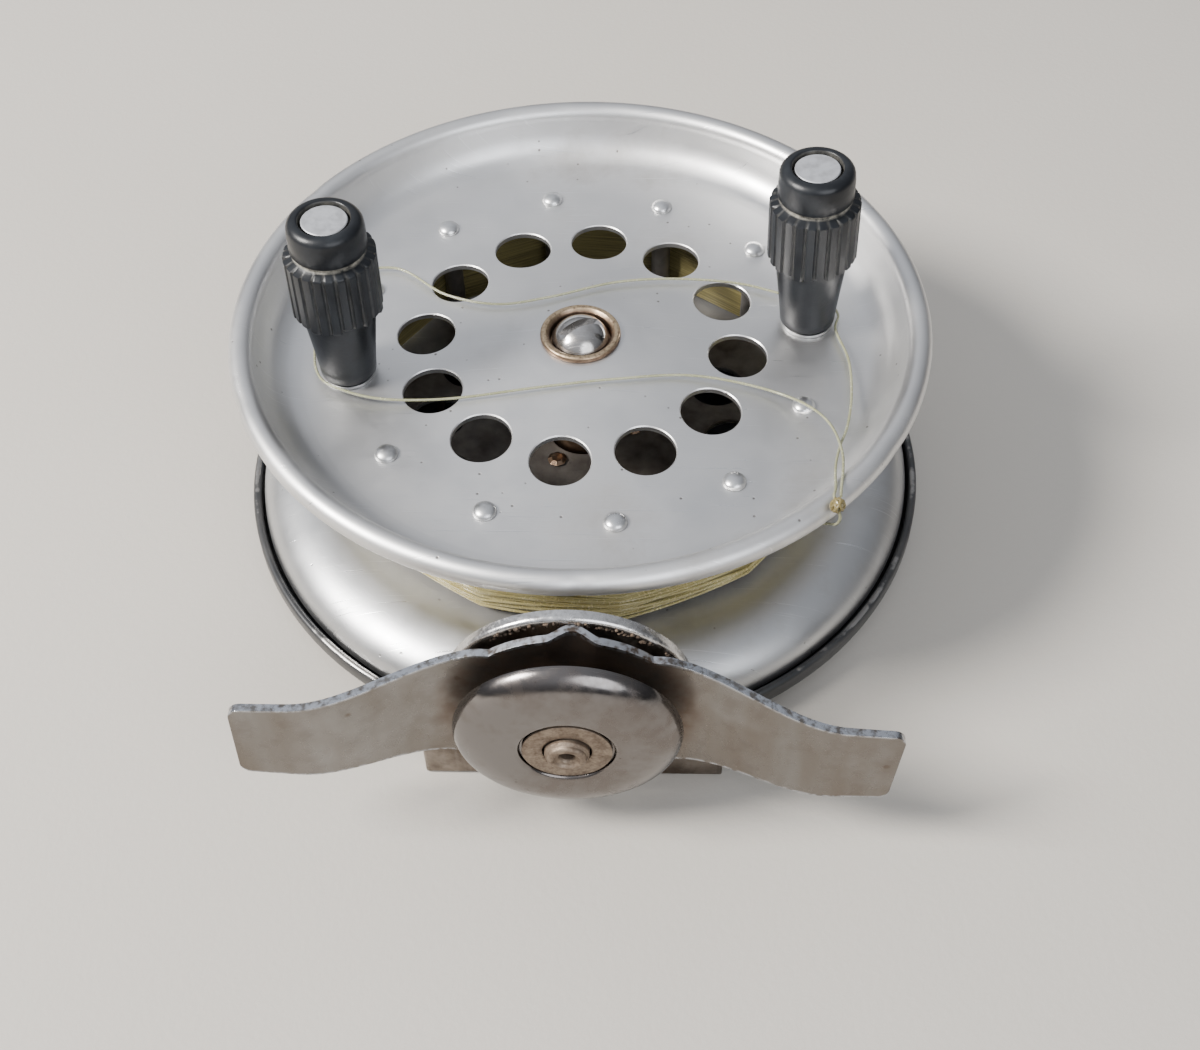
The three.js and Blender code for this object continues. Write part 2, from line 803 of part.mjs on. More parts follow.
// The strip's stations from its middle to one tip, closer together where the outline turns.
function footStations() {
  const { humpHalfChord, toothHalfWidth, taperStart, bendStart, bendEnd, halfLength, cornerRadius } = FOOT;
  const stations = [0, 1.5, toothHalfWidth, 4.6, 6.2, 7.6, 8.9, humpHalfChord, taperStart];
  const bendSteps = 7;
  for (let i = 0; i <= bendSteps; i += 1) stations.push(bendStart + ((bendEnd - bendStart) * i) / bendSteps);
  for (const share of [0, 0.4, 0.75, 0.93, 1]) stations.push(halfLength - cornerRadius * (1 - share));
  return stations;
}

function foot() {
  const stations = footStations();
  const last = stations.length - 1;
  const strip = new THREE.BoxGeometry(2 * last, 2, 2, 2 * last, 1, 8);
  const place = strip.attributes.position;
  for (let i = 0; i < place.count; i += 1) {
    const step = Math.round(place.getX(i));
    const x = stations[Math.abs(step)];
    const height = place.getZ(i) * footHalfWidth(x);
    const slope = (footFront(x + 0.01) - footFront(x)) / 0.01;
    const through = place.getY(i) > 0 ? FOOT.thickness * Math.hypot(1, slope) : 0;
    place.setXYZ(i, Math.sign(step) * x, footFront(x) + toothDepth(x, height) + through, height);
  }
  return cut(strip, [rodAboutY(PIN.hole, FOOT.front - 2, FOOT.front + 4, 20)]);
}

// Lies between the foot and the bracket, round the pin.
function footWasher() {
  const profile = [
    [PIN.hole, FOOT_WASHER.rear],
    [FOOT_WASHER.radius, FOOT_WASHER.rear],
    [FOOT_WASHER.radius, FOOT_WASHER.front],
    [PIN.hole, FOOT_WASHER.front],
  ];
  return latheAboutY(profile, 20);
}

function pivotPin() {
  const { radius, headRadius, headFront, headBack, neck, front } = PIN;
  const profile = [
    [0, headBack],
    [headRadius - 0.5, headBack],
    [headRadius, headBack - 0.4],
    [headRadius, headFront],
    [radius, headFront],
    [radius, CAP.recessFloor + 0.6],
    [neck, CAP.recessFloor + 0.4],
    [neck, front + 0.5],
    [2.2, front],
    [1.1, front],
    [0.9, front + 0.3],
    [0.9, front + 2.2],
    [0, front + 2.2],
  ];
  return latheAboutY(profile, 16);
}

// A quarter of an ellipse from the cap's flat out to its edge, as [radius, height] pairs.
function capShoulder(flat, front, reach, drop, steps) {
  const points = [];
  for (let i = 0; i <= steps; i += 1) {
    const angle = ((90 * i) / steps) * DEG;
    points.push([flat + reach * Math.sin(angle), front + drop * (1 - Math.cos(angle))]);
  }
  return points;
}

function springCap() {
  const { radius, rear, front, flat, recess, recessFloor, wall } = CAP;
  const reach = radius - flat;
  const drop = rear - front;
  const profile = [
    ...capShoulder(flat, front, reach, drop, 8).reverse(),
    [recess + 0.2, front],
    [recess, front + 0.2],
    [recess, recessFloor],
    [PIN.hole, recessFloor],
    [PIN.hole, recessFloor + wall],
    [recess + wall, recessFloor + wall],
    [recess + wall + 0.4, front + wall + 0.2],
    ...capShoulder(flat, front + wall, reach - wall, drop - wall, 8),
  ];
  return latheAboutY(profile, 28);
}

function capWasher() {
  const { bore, radius, rear, front } = CAP_WASHER;
  const profile = [
    [bore, rear],
    [radius, rear],
    [radius, front],
    [bore, front],
  ];
  return latheAboutY(profile, 16);
}

class CoilCurve extends THREE.Curve {
  getPoint(t) {
    const angle = t * SPRING.turns * 2 * Math.PI;
    const along = SPRING.rear + (SPRING.front - SPRING.rear) * t;
    return new THREE.Vector3(SPRING.radius * Math.cos(angle), along, SPRING.radius * Math.sin(angle));
  }
}

function roundSection(radius, sides) {
  const corners = [];
  for (let i = 0; i < sides; i += 1) {
    const [x, y] = onCircle(radius, (360 / sides) * i);
    corners.push(new THREE.Vector2(x, y));
  }
  return new THREE.Shape(corners);
}

function swivelSpring() {
  const options = { extrudePath: new CoilCurve(), steps: SPRING.steps, bevelEnabled: false };
  return new THREE.ExtrudeGeometry(roundSection(SPRING.wire / 2, 6), options);
}

// ---- loose line ---------------------------------------------------------

// From the wound line up over the rim, round both handles and back to the knot.
const LOOSE_LINE_ROUTE = [
  [25.83, -28.69, 25.4],
  [30.3, -33.9, 28.5],
  [32.5, -36.4, 32.4],
  [33.9, -37.9, 34.2],
  [34.15, -38.2, 36.0],
  [33.69, -37.69, 37.05],
  [33.35, -36.3, 37.75],
  [33.68, -34.8, 37.3],
  [34.2, -29.7, 35.85],
  [35.43, -24.19, 34.1],
  [36.81, -19.67, 32.6],
  [38.3, -11.5, 30.6],
  [38.6, -3.5, 29.7],
  [37.22, 3.26, 29.62],
  [37.82, 5.96, 29.62],
  [36.76, 8.52, 29.62],
  [34.43, 10.01, 29.62],
  [31.5, 10.05, 29.6],
  [23.59, 12.83, 29.55],
  [13.98, 13.29, 30.03],
  [5.03, 11.72, 30.71],
  [-4.84, 7.82, 31.19],
  [-12.35, 6.94, 30.54],
  [-20.43, 9.78, 29.77],
  [-29.0, 16.2, 29.42],
  [-36.5, 14.0, 29.4],
  [-39.3, 6.0, 29.5],
  [-38.6, -2.2, 29.9],
  [-37.8, -6.4, 30.2],
  [-36.4, -9.0, 30.3],
  [-34.0, -10.45, 30.2],
  [-28.9, -11.8, 29.75],
  [-19.5, -12.0, 29.75],
  [-4.87, -10.45, 30.87],
  [5.04, -9.03, 31.03],
  [16.5, -7.4, 30.15],
  [28.11, -10.67, 30.1],
  [33.6, -17.0, 32.3],
  [35.35, -26.3, 35.3],
  [34.25, -36.1, 37.5],
];

function looseLine() {
  const points = LOOSE_LINE_ROUTE.map((point) => new THREE.Vector3(...point));
  const extrudePath = new THREE.CatmullRomCurve3(points, false, 'centripetal');
  const options = { extrudePath, steps: 71, bevelEnabled: false };
  return new THREE.ExtrudeGeometry(roundSection(LINE_DIAMETER / 2, 8), options);
}

// A ring of wraps round the strand, leaning in over the rim.
function lineKnot() {
  const knot = new THREE.TorusGeometry(KNOT.radius, KNOT.thickness / 2, 8, 14);
  const [x, y] = onCircle(KNOT.circle, KNOT.turn);
  return knot.rotateY(-KNOT.lean * DEG).rotateZ(KNOT.turn * DEG).translate(x, y, KNOT.height);
}

// ---- assembly -----------------------------------------------------------

addPart('back_plate', backPlate(), 'enamel');
addPart('foot_bracket', footBracket(), 'chrome');
STRAP_RIVETS.forEach(([x, y], i) => addPart(`bracket_rivet_${i + 1}`, strapRivet(x, y), 'steel'));
addPart('spindle', spindle(), 'steel');
addPart('thrust_washer', thrustWasher(), 'steel');
addPart('spool_screw', spoolScrew(), 'chrome');

addPart('front_flange', flange(flangeProfile(), HANDLE.hole), 'aluminium');
addPart('rear_flange', flange(rearFlangeProfile(), REAR_TENON_HOLE, gearRivetHoles()), 'aluminium');
addPart('hub_bush', hubBush(), 'brass');
addPart('line_pack', linePack(), 'nylon');

let pillarNumber = 0;
for (let i = 0; i < CAGE.count; i += 1) {
  if (i === LEFT_HANDLE_PLACE || i === RIGHT_HANDLE_PLACE) continue;
  pillarNumber += 1;
  const [x, y] = onCircle(CAGE.circle, CAGE.phase + (360 / CAGE.count) * i);
  addPart(`pillar_${pillarNumber}`, pillar(x, y), 'aluminium');
}

for (const [side, place] of [['left', LEFT_HANDLE_PLACE], ['right', RIGHT_HANDLE_PLACE]]) {
  const handle = new THREE.Group();
  const [x, y] = onCircle(HANDLE_CIRCLE, CAGE.phase + (360 / CAGE.count) * place);
  handle.position.set(x, y, 0);
  addPart(`handle_spindle_${side}`, handleSpindle(HANDLE_LEAN[side]), 'aluminium', handle);
  addPart(`handle_washer_${side}`, handleWasher(), 'steel', handle);
  addPart(`grip_${side}`, bent(grip(), HANDLE_LEAN[side]), 'bakelite', handle);
  reel.add(handle);
}

addPart('click_gear', clickGear(), 'brass');
for (let i = 0; i < GEAR.rivets; i += 1) {
  const [x, y] = onCircle(GEAR.rivetCircle, (360 / GEAR.rivets) * i);
  addPart(`gear_rivet_${i + 1}`, gearRivet(x, y), 'brass');
}

const click = new THREE.Group();
click.rotation.z = PAWL.turn * DEG;
const clickPivot = new THREE.Group();
clickPivot.position.x = PAWL.pivot;
click.add(clickPivot);
reel.add(click);
addPart('click_pawl', pawl(), 'brass', clickPivot);
addPart('pawl_post', pawlPost(), 'steel', clickPivot);
addPart('click_spring', clickSpring(), 'springSteel', clickPivot);
const springRivet = addPart('click_spring_rivet', clickSpringRivet(), 'steel', clickPivot);
springRivet.position.set(LEAF.offset, SPRING_RIVET.along, 0);

const swivel = new THREE.Group();
swivel.position.z = PIVOT_HEIGHT;
swivel.rotation.y = FOOT.turn * DEG;
reel.add(swivel);
addPart('foot', foot(), 'steel', swivel);
addPart('foot_washer', footWasher(), 'steel', swivel);
addPart('pivot_pin', pivotPin(), 'steel', swivel);
addPart('swivel_spring', swivelSpring(), 'springSteel', swivel);
addPart('spring_cap', springCap(), 'chrome', swivel);
addPart('cap_washer', capWasher(), 'springSteel', swivel);

addPart('loose_line', looseLine(), 'nylon');
addPart('line_knot', lineKnot(), 'nylon');

export default reel;
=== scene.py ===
"""Looks of the side-casting line reel: fine meshes, procedural materials, camera and studio.

Shapes are worked out in millimetres and written to the meshes in metres.
"""

import math
import random

import bmesh
import bpy
from mathutils import Matrix, Vector


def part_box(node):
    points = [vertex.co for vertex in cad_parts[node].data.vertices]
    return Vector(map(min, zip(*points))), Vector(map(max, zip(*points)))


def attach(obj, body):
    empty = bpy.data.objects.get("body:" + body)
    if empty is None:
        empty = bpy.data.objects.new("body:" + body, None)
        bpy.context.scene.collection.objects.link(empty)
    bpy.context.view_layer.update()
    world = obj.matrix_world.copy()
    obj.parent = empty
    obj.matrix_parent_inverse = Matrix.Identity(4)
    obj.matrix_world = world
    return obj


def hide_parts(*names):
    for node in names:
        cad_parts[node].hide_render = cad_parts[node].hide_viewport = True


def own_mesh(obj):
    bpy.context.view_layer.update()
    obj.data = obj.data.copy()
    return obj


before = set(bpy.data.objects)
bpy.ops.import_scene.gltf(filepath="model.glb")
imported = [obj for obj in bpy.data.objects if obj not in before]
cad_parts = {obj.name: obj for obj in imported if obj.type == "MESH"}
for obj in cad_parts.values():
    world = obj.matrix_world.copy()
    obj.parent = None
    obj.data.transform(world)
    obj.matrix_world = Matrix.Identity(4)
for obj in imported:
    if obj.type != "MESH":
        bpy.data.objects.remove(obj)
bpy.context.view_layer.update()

MM = 0.001
TAU = 2 * math.pi


def box_mm(node):
    """Lowest and highest corner of a CAD node, in millimetres."""
    low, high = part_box(node)
    return low / MM, high / MM


# ---- places taken from the frame, in millimetres --------------------------

SHEET = 1.0
FRONT_INNER = box_mm("front_flange")[0].z
FRONT_FACE = FRONT_INNER + SHEET
REAR_FACE = box_mm("rear_flange")[1].z
REAR_BACK = REAR_FACE - SHEET
PLATE_LOW, PLATE_HIGH = box_mm("back_plate")
PLATE_RADIUS = PLATE_HIGH.x
CAP_LOW, CAP_HIGH = box_mm("spring_cap")
PIVOT = Vector(((CAP_LOW.x + CAP_HIGH.x) / 2, 0, (CAP_LOW.z + CAP_HIGH.z) / 2))
BRACKET_LOW, BRACKET_HIGH = box_mm("foot_bracket")
PILLARS = [f"pillar_{i + 1}" for i in range(10)]
SIDES = ("left", "right")


def centre_mm(node):
    low, high = box_mm(node)
    return (low + high) / 2


def new_object(name, data):
    made = bpy.data.objects.new(name, data)
    bpy.context.scene.collection.objects.link(made)
    return made


# ---- camera ---------------------------------------------------------------

CAMERA_PLACE = (8.84, -165.03, 187.36)
CAMERA_AZIMUTH = 2.3
CAMERA_DOWN = 50.4
CAMERA_ROLL = -1.29
CAMERA_LENS = 46.7


def make_camera():
    data = bpy.data.cameras.new("camera")
    data.lens = CAMERA_LENS
    data.sensor_width = 36
    data.clip_start = 0.01
    camera = new_object("camera", data)
    turn = Matrix.Rotation(math.radians(CAMERA_AZIMUTH), 4, "Z")
    tilt = Matrix.Rotation(math.radians(90 - CAMERA_DOWN), 4, "X")
    roll = Matrix.Rotation(math.radians(CAMERA_ROLL), 4, "Z")
    camera.matrix_world = Matrix.Translation(Vector(CAMERA_PLACE) * MM) @ turn @ tilt @ roll
    bpy.context.scene.camera = camera


make_camera()


# ---- node materials -------------------------------------------------------


class Shader:
    """A short way to write one node material."""

    def __init__(self, name, base, roughness, metallic, **sockets):
        self.material = bpy.data.materials.new(name)
        self.material.use_nodes = True
        self.tree = self.material.node_tree
        self.surface = self.tree.nodes["Principled BSDF"]
        self.surface.inputs["Base Color"].default_value = (*base, 1)
        self.surface.inputs["Roughness"].default_value = roughness
        self.surface.inputs["Metallic"].default_value = metallic
        for socket, value in sockets.items():
            self.surface.inputs[socket.replace("_", " ")].default_value = value
        self.place = self.tree.nodes.new("ShaderNodeTexCoord").outputs["Object"]

    def node(self, kind, inputs=None, **settings):
        made = self.tree.nodes.new("ShaderNode" + kind)
        for key, value in settings.items():
            setattr(made, key, value)
        for key, value in (inputs or {}).items():
            self.feed(made.inputs[key], value)
        return made

    def feed(self, socket, value):
        if isinstance(value, bpy.types.NodeSocket):
            self.tree.links.new(value, socket)
        elif isinstance(value, tuple) and len(value) == 3 and socket.type == "RGBA":
            socket.default_value = (*value, 1)
        else:
            socket.default_value = value

    def mapped(self, scale=(1, 1, 1), rotation=(0, 0, 0), shift=(0, 0, 0)):
        inputs = {"Vector": self.place, "Scale": scale, "Rotation": rotation, "Location": shift}
        return self.node("Mapping", inputs).outputs["Vector"]

    def noise(self, scale, detail=4, roughness=0.55, vector=None):
        inputs = {"Vector": vector or self.place, "Scale": scale, "Detail": detail, "Roughness": roughness}
        return self.node("TexNoise", inputs).outputs["Fac"]

    def remap(self, value, low, high, to_low=0.0, to_high=1.0):
        inputs = {"Value": value, "From Min": low, "From Max": high, "To Min": to_low, "To Max": to_high}
        return self.node("MapRange", inputs, clamp=True).outputs["Result"]

    def maths(self, operation, first, second=0.0):
        return self.node("Math", {0: first, 1: second}, operation=operation).outputs[0]

    def times(self, first, second):
        return self.maths("MULTIPLY", first, second)

    def plus(self, first, second):
        return self.maths("ADD", first, second)

    def mix(self, factor, first, second):
        made = self.node("Mix", data_type="RGBA")
        self.feed(made.inputs[0], factor)
        self.feed(made.inputs[6], first)
        self.feed(made.inputs[7], second)
        return made.outputs[2]

    def attribute(self, name):
        return self.node("Attribute", attribute_name=name).outputs["Fac"]

    def polar(self, radial, around):
        """Coordinates by radius and angle about the Z axis, for marks left by a lathe."""
        parts = self.node("SeparateXYZ", {"Vector": self.place})
        x, y = parts.outputs["X"], parts.outputs["Y"]
        squared = self.plus(self.times(x, x), self.times(y, y))
        radius = self.times(self.maths("SQRT", squared), radial)
        angle = self.times(self.maths("ARCTAN2", y, x), around)
        return self.node("CombineXYZ", {"X": radius, "Y": angle}).outputs["Vector"]

    def scratches(self, directions, length=45.0, fineness=3600.0, rarity=0.66, reach=0.07):
        """Thin straight marks in a few directions, 1 on a mark and 0 elsewhere."""
        total = None
        for i, degrees in enumerate(directions):
            spot = self.mapped(
                scale=(length, fineness, length),
                rotation=(0.3 * i, 0.2 * i, math.radians(degrees)),
                shift=(3.1 * i, 1.7 * i, 0),
            )
            streak = self.noise(1.0, detail=2, vector=spot)
            mark = self.remap(streak, rarity, rarity + reach)
            patch = self.remap(self.noise(90 + 17 * i, detail=2), 0.5, 0.6)
            mark = self.times(mark, patch)
            total = mark if total is None else self.maths("MAXIMUM", total, mark)
        return total

    def specks(self, scale, size, rarity):
        """Small round spots on a few of the cells, 1 inside a spot."""
        cells = self.node("TexVoronoi", {"Vector": self.place, "Scale": scale})
        near = self.remap(cells.outputs["Distance"], size, size * 0.55)
        parts = self.node("SeparateColor", {"Color": cells.outputs["Color"]})
        chosen = self.remap(parts.outputs[0], rarity, rarity + 0.01)
        return self.times(near, chosen)

    def finish(self, color, roughness, heights, metallic=None):
        """Links what varies. heights are (value, depth in metres) pairs, each its own bump."""
        for socket, value in (("Base Color", color), ("Roughness", roughness), ("Metallic", metallic)):
            if value is not None:
                self.feed(self.surface.inputs[socket], value)
        normal = None
        for value, depth in heights:
            bump = self.node("Bump", {"Height": value, "Distance": depth, "Strength": 1.0})
            if normal is not None:
                self.feed(bump.inputs["Normal"], normal)
            normal = bump.outputs["Normal"]
        self.feed(self.surface.inputs["Normal"], normal)
        return self.material


def sheet_aluminium(name, base, roughness, wear, dusty=False):
    """Spun sheet: hazy satin with fine scratches, dull patches, pits and faint lathe rings."""
    s = Shader(name, base, roughness, 1.0)
    haze = s.noise(55, detail=6, roughness=0.6)
    cloud = s.noise(16, detail=3)
    grain = s.noise(2600, detail=3)
    rings = s.noise(1.0, detail=2, vector=s.polar(radial=2600, around=1.4))
    scratch = s.scratches((12, 55, -38, 81, -70, 150), rarity=0.67)
    pits = s.specks(620, 0.15, 0.95 - 0.08 * wear)
    grime = s.times(s.remap(haze, 0.54, 0.72), s.remap(cloud, 0.42, 0.62))
    dull = tuple(0.84 * c for c in base)
    color = s.mix(s.times(s.remap(cloud, 0.35, 0.7), 0.5), base, dull)
    color = s.mix(s.times(grime, 0.6 * wear), color, (0.34, 0.315, 0.285))
    color = s.mix(s.times(scratch, 0.45), color, (0.92, 0.92, 0.93))
    color = s.mix(s.times(pits, 0.75 * wear), color, (0.12, 0.1, 0.085))
    rough = s.remap(haze, 0.3, 0.75, roughness - 0.06, roughness + 0.14)
    rough = s.maths("SUBTRACT", rough, s.times(scratch, 0.16))
    heights = [(cloud, 0.0002), (grain, 0.000004), (rings, 0.000002), (scratch, -0.000009), (pits, -0.00003)]
    if not dusty:
        return s.finish(color, rough, heights)
    # Dust and painted shade inside the line's bore: darker brown-grey, rougher and less metallic.
    dust = s.times(s.attribute("dust"), s.remap(haze, 0.2, 0.5, 0.75, 1.0))
    dust_and_shade_tone = s.mix(s.remap(s.noise(300, detail=6), 0.35, 0.7), (0.17, 0.15, 0.13), (0.07, 0.055, 0.045))
    color = s.mix(dust, color, dust_and_shade_tone)
    rough = s.plus(rough, s.times(dust, 0.3))
    metallic = s.maths("SUBTRACT", 1.0, s.times(dust, 0.65))
    return s.finish(color, rough, heights, metallic)


def bright_rod(name, base, roughness, shaded=False):
    """Turned or drawn metal with fine marks and a little tarnish; shaded parts get painted shade, darker and
    duller.
    """
    s = Shader(name, base, roughness, 1.0)
    tarnish = s.noise(420, detail=5)
    fine = s.noise(3200, detail=2)
    color = s.mix(s.remap(tarnish, 0.5, 0.75), base, tuple(0.5 * c for c in base))
    rough = s.remap(tarnish, 0.3, 0.8, roughness - 0.06, roughness + 0.16)
    if shaded:
        # Painted shade: parts marked shaded are darkened and made rougher.
        dull = s.attribute("shaded")
        color = s.mix(s.times(dull, 0.8), color, (0.2, 0.185, 0.17))
        rough = s.plus(rough, s.times(dull, 0.25))
    return s.finish(color, rough, [(fine, 0.000004), (tarnish, 0.00001)])


def handle_end_material():
    """The spindle's broad end: matt, chalky aluminium with a dirty edge."""
    s = Shader("handle_end_metal", (0.42, 0.43, 0.45), 0.6, 0.5)
    grain = s.noise(1500, detail=5)
    spots = s.noise(600, detail=4)
    color = s.mix(s.remap(spots, 0.42, 0.7), (0.43, 0.44, 0.465), (0.31, 0.315, 0.33))
    return s.finish(color, s.remap(grain, 0.3, 0.8, 0.48, 0.68), [(grain, 0.00002)])


def enamel_material():
    """Black enamel, dusty on the flats and rubbed to bare metal here and there along its rim."""
    black = (0.02, 0.021, 0.023)
    s = Shader("black_enamel_paint", black, 0.3, 0.0, Coat_Weight=0.2)
    edge = s.attribute("edge")
    chips = s.noise(900, detail=5)
    stretch = s.noise(70, detail=3)
    dust = s.noise(130, detail=6)
    rubbed_and_highlit = s.times(edge, s.remap(stretch, 0.4, 0.6))
    bare = s.remap(s.plus(rubbed_and_highlit, s.times(chips, 0.55)), 0.9, 1.1)
    dusty = s.mix(s.times(s.remap(dust, 0.4, 0.8), 0.35), black, (0.12, 0.11, 0.1))
    color = s.mix(bare, dusty, (0.3, 0.29, 0.28))
    rough = s.remap(dust, 0.3, 0.8, 0.3, 0.58)
    fine = s.noise(1700, detail=3)
    return s.finish(color, rough, [(fine, 0.000006), (bare, -0.00003)], metallic=bare)


def chrome_material(name, base, roughness, dirt_color, dirt):
    """Plating: bright, finely scratched, with dull dirt in noisy patches."""
    s = Shader(name, base, roughness, 1.0)
    cloud = s.noise(150, detail=5)
    film = s.noise(700, detail=4)
    scratch = s.scratches((20, -35, 70, 110), length=120, fineness=5200, rarity=0.66)
    specks = s.specks(900, 0.2, 0.93)
    soiled = s.plus(cloud, s.times(film, 0.35))
    soiled = s.remap(soiled, 0.72 - 0.2 * dirt, 0.9 - 0.12 * dirt)
    color = s.mix(s.times(soiled, dirt), base, dirt_color)
    color = s.mix(s.times(specks, 0.7), color, (0.06, 0.045, 0.035))
    rough = s.times(soiled, 0.25 * dirt)
    rough = s.plus(rough, s.remap(film, 0.3, 0.8, roughness, roughness + 0.08))
    rough = s.plus(rough, s.times(scratch, 0.12))
    return s.finish(color, rough, [(cloud, 0.00004), (scratch, -0.000003), (specks, -0.00001)])


def bracket_material():
    """Old plating: brown with dirt on the face, with a painted highlight in pale metal along the rounded
    upper rim.
    """
    s = Shader("bracket_plating", (0.2, 0.17, 0.14), 0.4, 1.0)
    rim = s.attribute("edge")
    cloud = s.noise(190, detail=6)
    grit = s.noise(1500, detail=5)
    streak = s.noise(1.0, detail=4, vector=s.mapped(scale=(900, 120, 120)))
    soiled = s.mix(s.remap(cloud, 0.35, 0.66), (0.32, 0.275, 0.235), (0.12, 0.092, 0.07))
    soiled = s.mix(s.times(s.remap(streak, 0.5, 0.7), 0.3), soiled, (0.34, 0.31, 0.28))
    # Painted highlight: the upper rim is made pale and smoother.
    rubbed_and_highlit = s.times(rim, s.remap(grit, 0.3, 0.5, 0.55, 1.0))
    color = s.mix(rubbed_and_highlit, soiled, (0.66, 0.65, 0.64))
    rough = s.remap(grit, 0.3, 0.75, 0.3, 0.6)
    rough = s.maths("SUBTRACT", rough, s.times(rubbed_and_highlit, 0.2))
    return s.finish(color, rough, [(cloud, 0.00006), (grit, 0.00002)])


def foot_material():
    """Plated strip, brown-grey and softly clouded, with a nicked bright edge and painted shade with brown
    dirt round the cap.
    """
    base = (0.215, 0.205, 0.194)
    s = Shader("foot_plating", base, 0.27, 1.0)
    edge = s.attribute("edge")
    shade_and_dirt_round_cap = s.attribute("shade_and_dirt_round_cap")
    cloud = s.noise(75, detail=4)
    mottle = s.noise(420, detail=4)
    soft = s.noise(1.0, detail=3, vector=s.mapped(scale=(150, 45, 30)))
    scratch = s.scratches((0, 8, -12, 60), length=70, fineness=5200, rarity=0.65)
    stain = s.specks(300, 0.18, 0.93)
    brown = s.mix(s.remap(soft, 0.35, 0.66), base, (0.165, 0.142, 0.122))
    color = s.mix(s.times(s.remap(mottle, 0.5, 0.75), 0.3), brown, (0.12, 0.095, 0.078))
    color = s.mix(s.times(s.remap(cloud, 0.5, 0.68), 0.35), color, (0.34, 0.335, 0.335))
    # Round the cap: painted shade and dark reflection, mixed with brown dirt.
    color = s.mix(s.times(shade_and_dirt_round_cap, s.remap(mottle, 0.3, 0.6, 0.35, 0.8)), color, (0.13, 0.09, 0.065))
    color = s.mix(s.times(stain, 0.6), color, (0.1, 0.07, 0.05))
    nicks = s.noise(1100, detail=4)
    bright = s.times(edge, s.remap(nicks, 0.38, 0.55))
    color = s.mix(bright, color, (0.5, 0.52, 0.56))
    rough = s.remap(mottle, 0.3, 0.75, 0.2, 0.34)
    rough = s.plus(rough, s.times(shade_and_dirt_round_cap, 0.15))
    heights = [
        (cloud, 0.00006),
        (soft, 0.00005),
        (scratch, -0.000004),
        (s.times(edge, nicks), 0.00005),
    ]
    return s.finish(color, rough, heights)


def brass_material():
    """Brass gone brown, with a painted golden highlight along the top edge and dark grime."""
    s = Shader("tarnished_brass", (0.3, 0.22, 0.14), 0.36, 1.0)
    cloud = s.noise(500, detail=6)
    fine = s.noise(2400, detail=3)
    edge = s.attribute("edge")
    color = s.mix(s.remap(cloud, 0.35, 0.65), (0.36, 0.25, 0.17), (0.15, 0.1, 0.07))
    # Painted golden highlight along the top edge.
    color = s.mix(s.times(edge, s.remap(fine, 0.32, 0.55, 0.1, 0.7)), color, (0.72, 0.56, 0.36))
    return s.finish(color, s.remap(cloud, 0.3, 0.75, 0.26, 0.5), [(cloud, 0.00003), (fine, 0.000008)])


def rust_material(name, base, dark, metallic):
    """Brown oxidised steel, rough and mottled."""
    s = Shader(name, base, 0.55, metallic)
    cloud = s.noise(650, detail=7, roughness=0.65)
    grit = s.noise(2600, detail=4)
    color = s.mix(s.remap(cloud, 0.36, 0.66), base, dark)
    return s.finish(color, s.remap(grit, 0.3, 0.8, 0.4, 0.75), [(cloud, 0.00006), (grit, 0.00003)])


def bakelite_material():
    """Near-black moulding: glossy where it is handled, with pale dust in the grooves."""
    black = (0.007, 0.008, 0.01)
    s = Shader("bakelite_moulding", black, 0.4, 0.0, Specular_IOR_Level=0.35)
    groove = s.attribute("groove")
    dust = s.noise(900, detail=6, roughness=0.65)
    cloud = s.noise(260, detail=4)
    settled = s.times(groove, s.remap(dust, 0.3, 0.62))
    smear = s.times(s.remap(cloud, 0.42, 0.7), 0.5)
    color = s.mix(smear, black, (0.022, 0.026, 0.031))
    color = s.mix(settled, color, (0.34, 0.32, 0.27))
    scratch = s.scratches((5, 85, 40), length=160, fineness=4200, rarity=0.67)
    rough = s.plus(s.remap(cloud, 0.3, 0.75, 0.28, 0.46), s.times(settled, 0.4))
    fine = s.noise(1800, detail=3)
    return s.finish(color, rough, [(fine, 0.00001), (dust, 0.00001), (scratch, -0.000006)])


def nylon_material(name, base, deep):
    """Yellow-olive monofilament: glossy, slightly translucent, uneven in tone."""
    s = Shader(name, base, 0.22, 0.0, Transmission_Weight=0.35, IOR=1.53)
    tone = s.noise(240, detail=4)
    color = s.mix(s.remap(tone, 0.35, 0.7), base, deep)
    fine = s.noise(2600, detail=2)
    return s.finish(color, s.remap(fine, 0.3, 0.8, 0.16, 0.34), [(fine, 0.000006)])


def winding_material():
    """The body of the wound line under its outer strands: olive, darker than the strands as painted shade,
    striped by the turns.
    """
    s = Shader("shaded_wound_core", (0.2, 0.17, 0.05), 0.38, 0.0)
    # Painted shade: darker olive than the strands, with dark stripes between the turns.
    stripes = s.noise(1.0, detail=3, vector=s.mapped(scale=(60, 60, 4200)))
    tone = s.noise(180, detail=4)
    color = s.mix(s.remap(stripes, 0.35, 0.65), (0.36, 0.31, 0.13), (0.13, 0.11, 0.045))
    color = s.mix(s.times(s.remap(tone, 0.4, 0.75), 0.5), color, (0.22, 0.19, 0.08))
    return s.finish(color, 0.4, [(stripes, 0.00012)])


def dirt_material():
    """Crumbs of brown dirt and old grease."""
    s = Shader("brown_dirt", (0.1, 0.07, 0.045), 0.9, 0.0)
    grit = s.noise(2200, detail=6)
    color = s.mix(s.remap(grit, 0.35, 0.65), (0.13, 0.09, 0.06), (0.035, 0.026, 0.02))
    return s.finish(color, s.remap(grit, 0.3, 0.7, 0.75, 0.95), [(grit, 0.00008)])


def floor_material():
    """Plain pale studio floor with the faintest tooth."""
    s = Shader("studio_floor", (0.5, 0.47, 0.42), 0.85, 0.0)
    tone = s.noise(6, detail=3)
    color = s.mix(s.remap(tone, 0.3, 0.7), (0.5, 0.47, 0.425), (0.47, 0.44, 0.395))
    return s.finish(color, 0.85, [(s.noise(900, detail=4), 0.00006)])


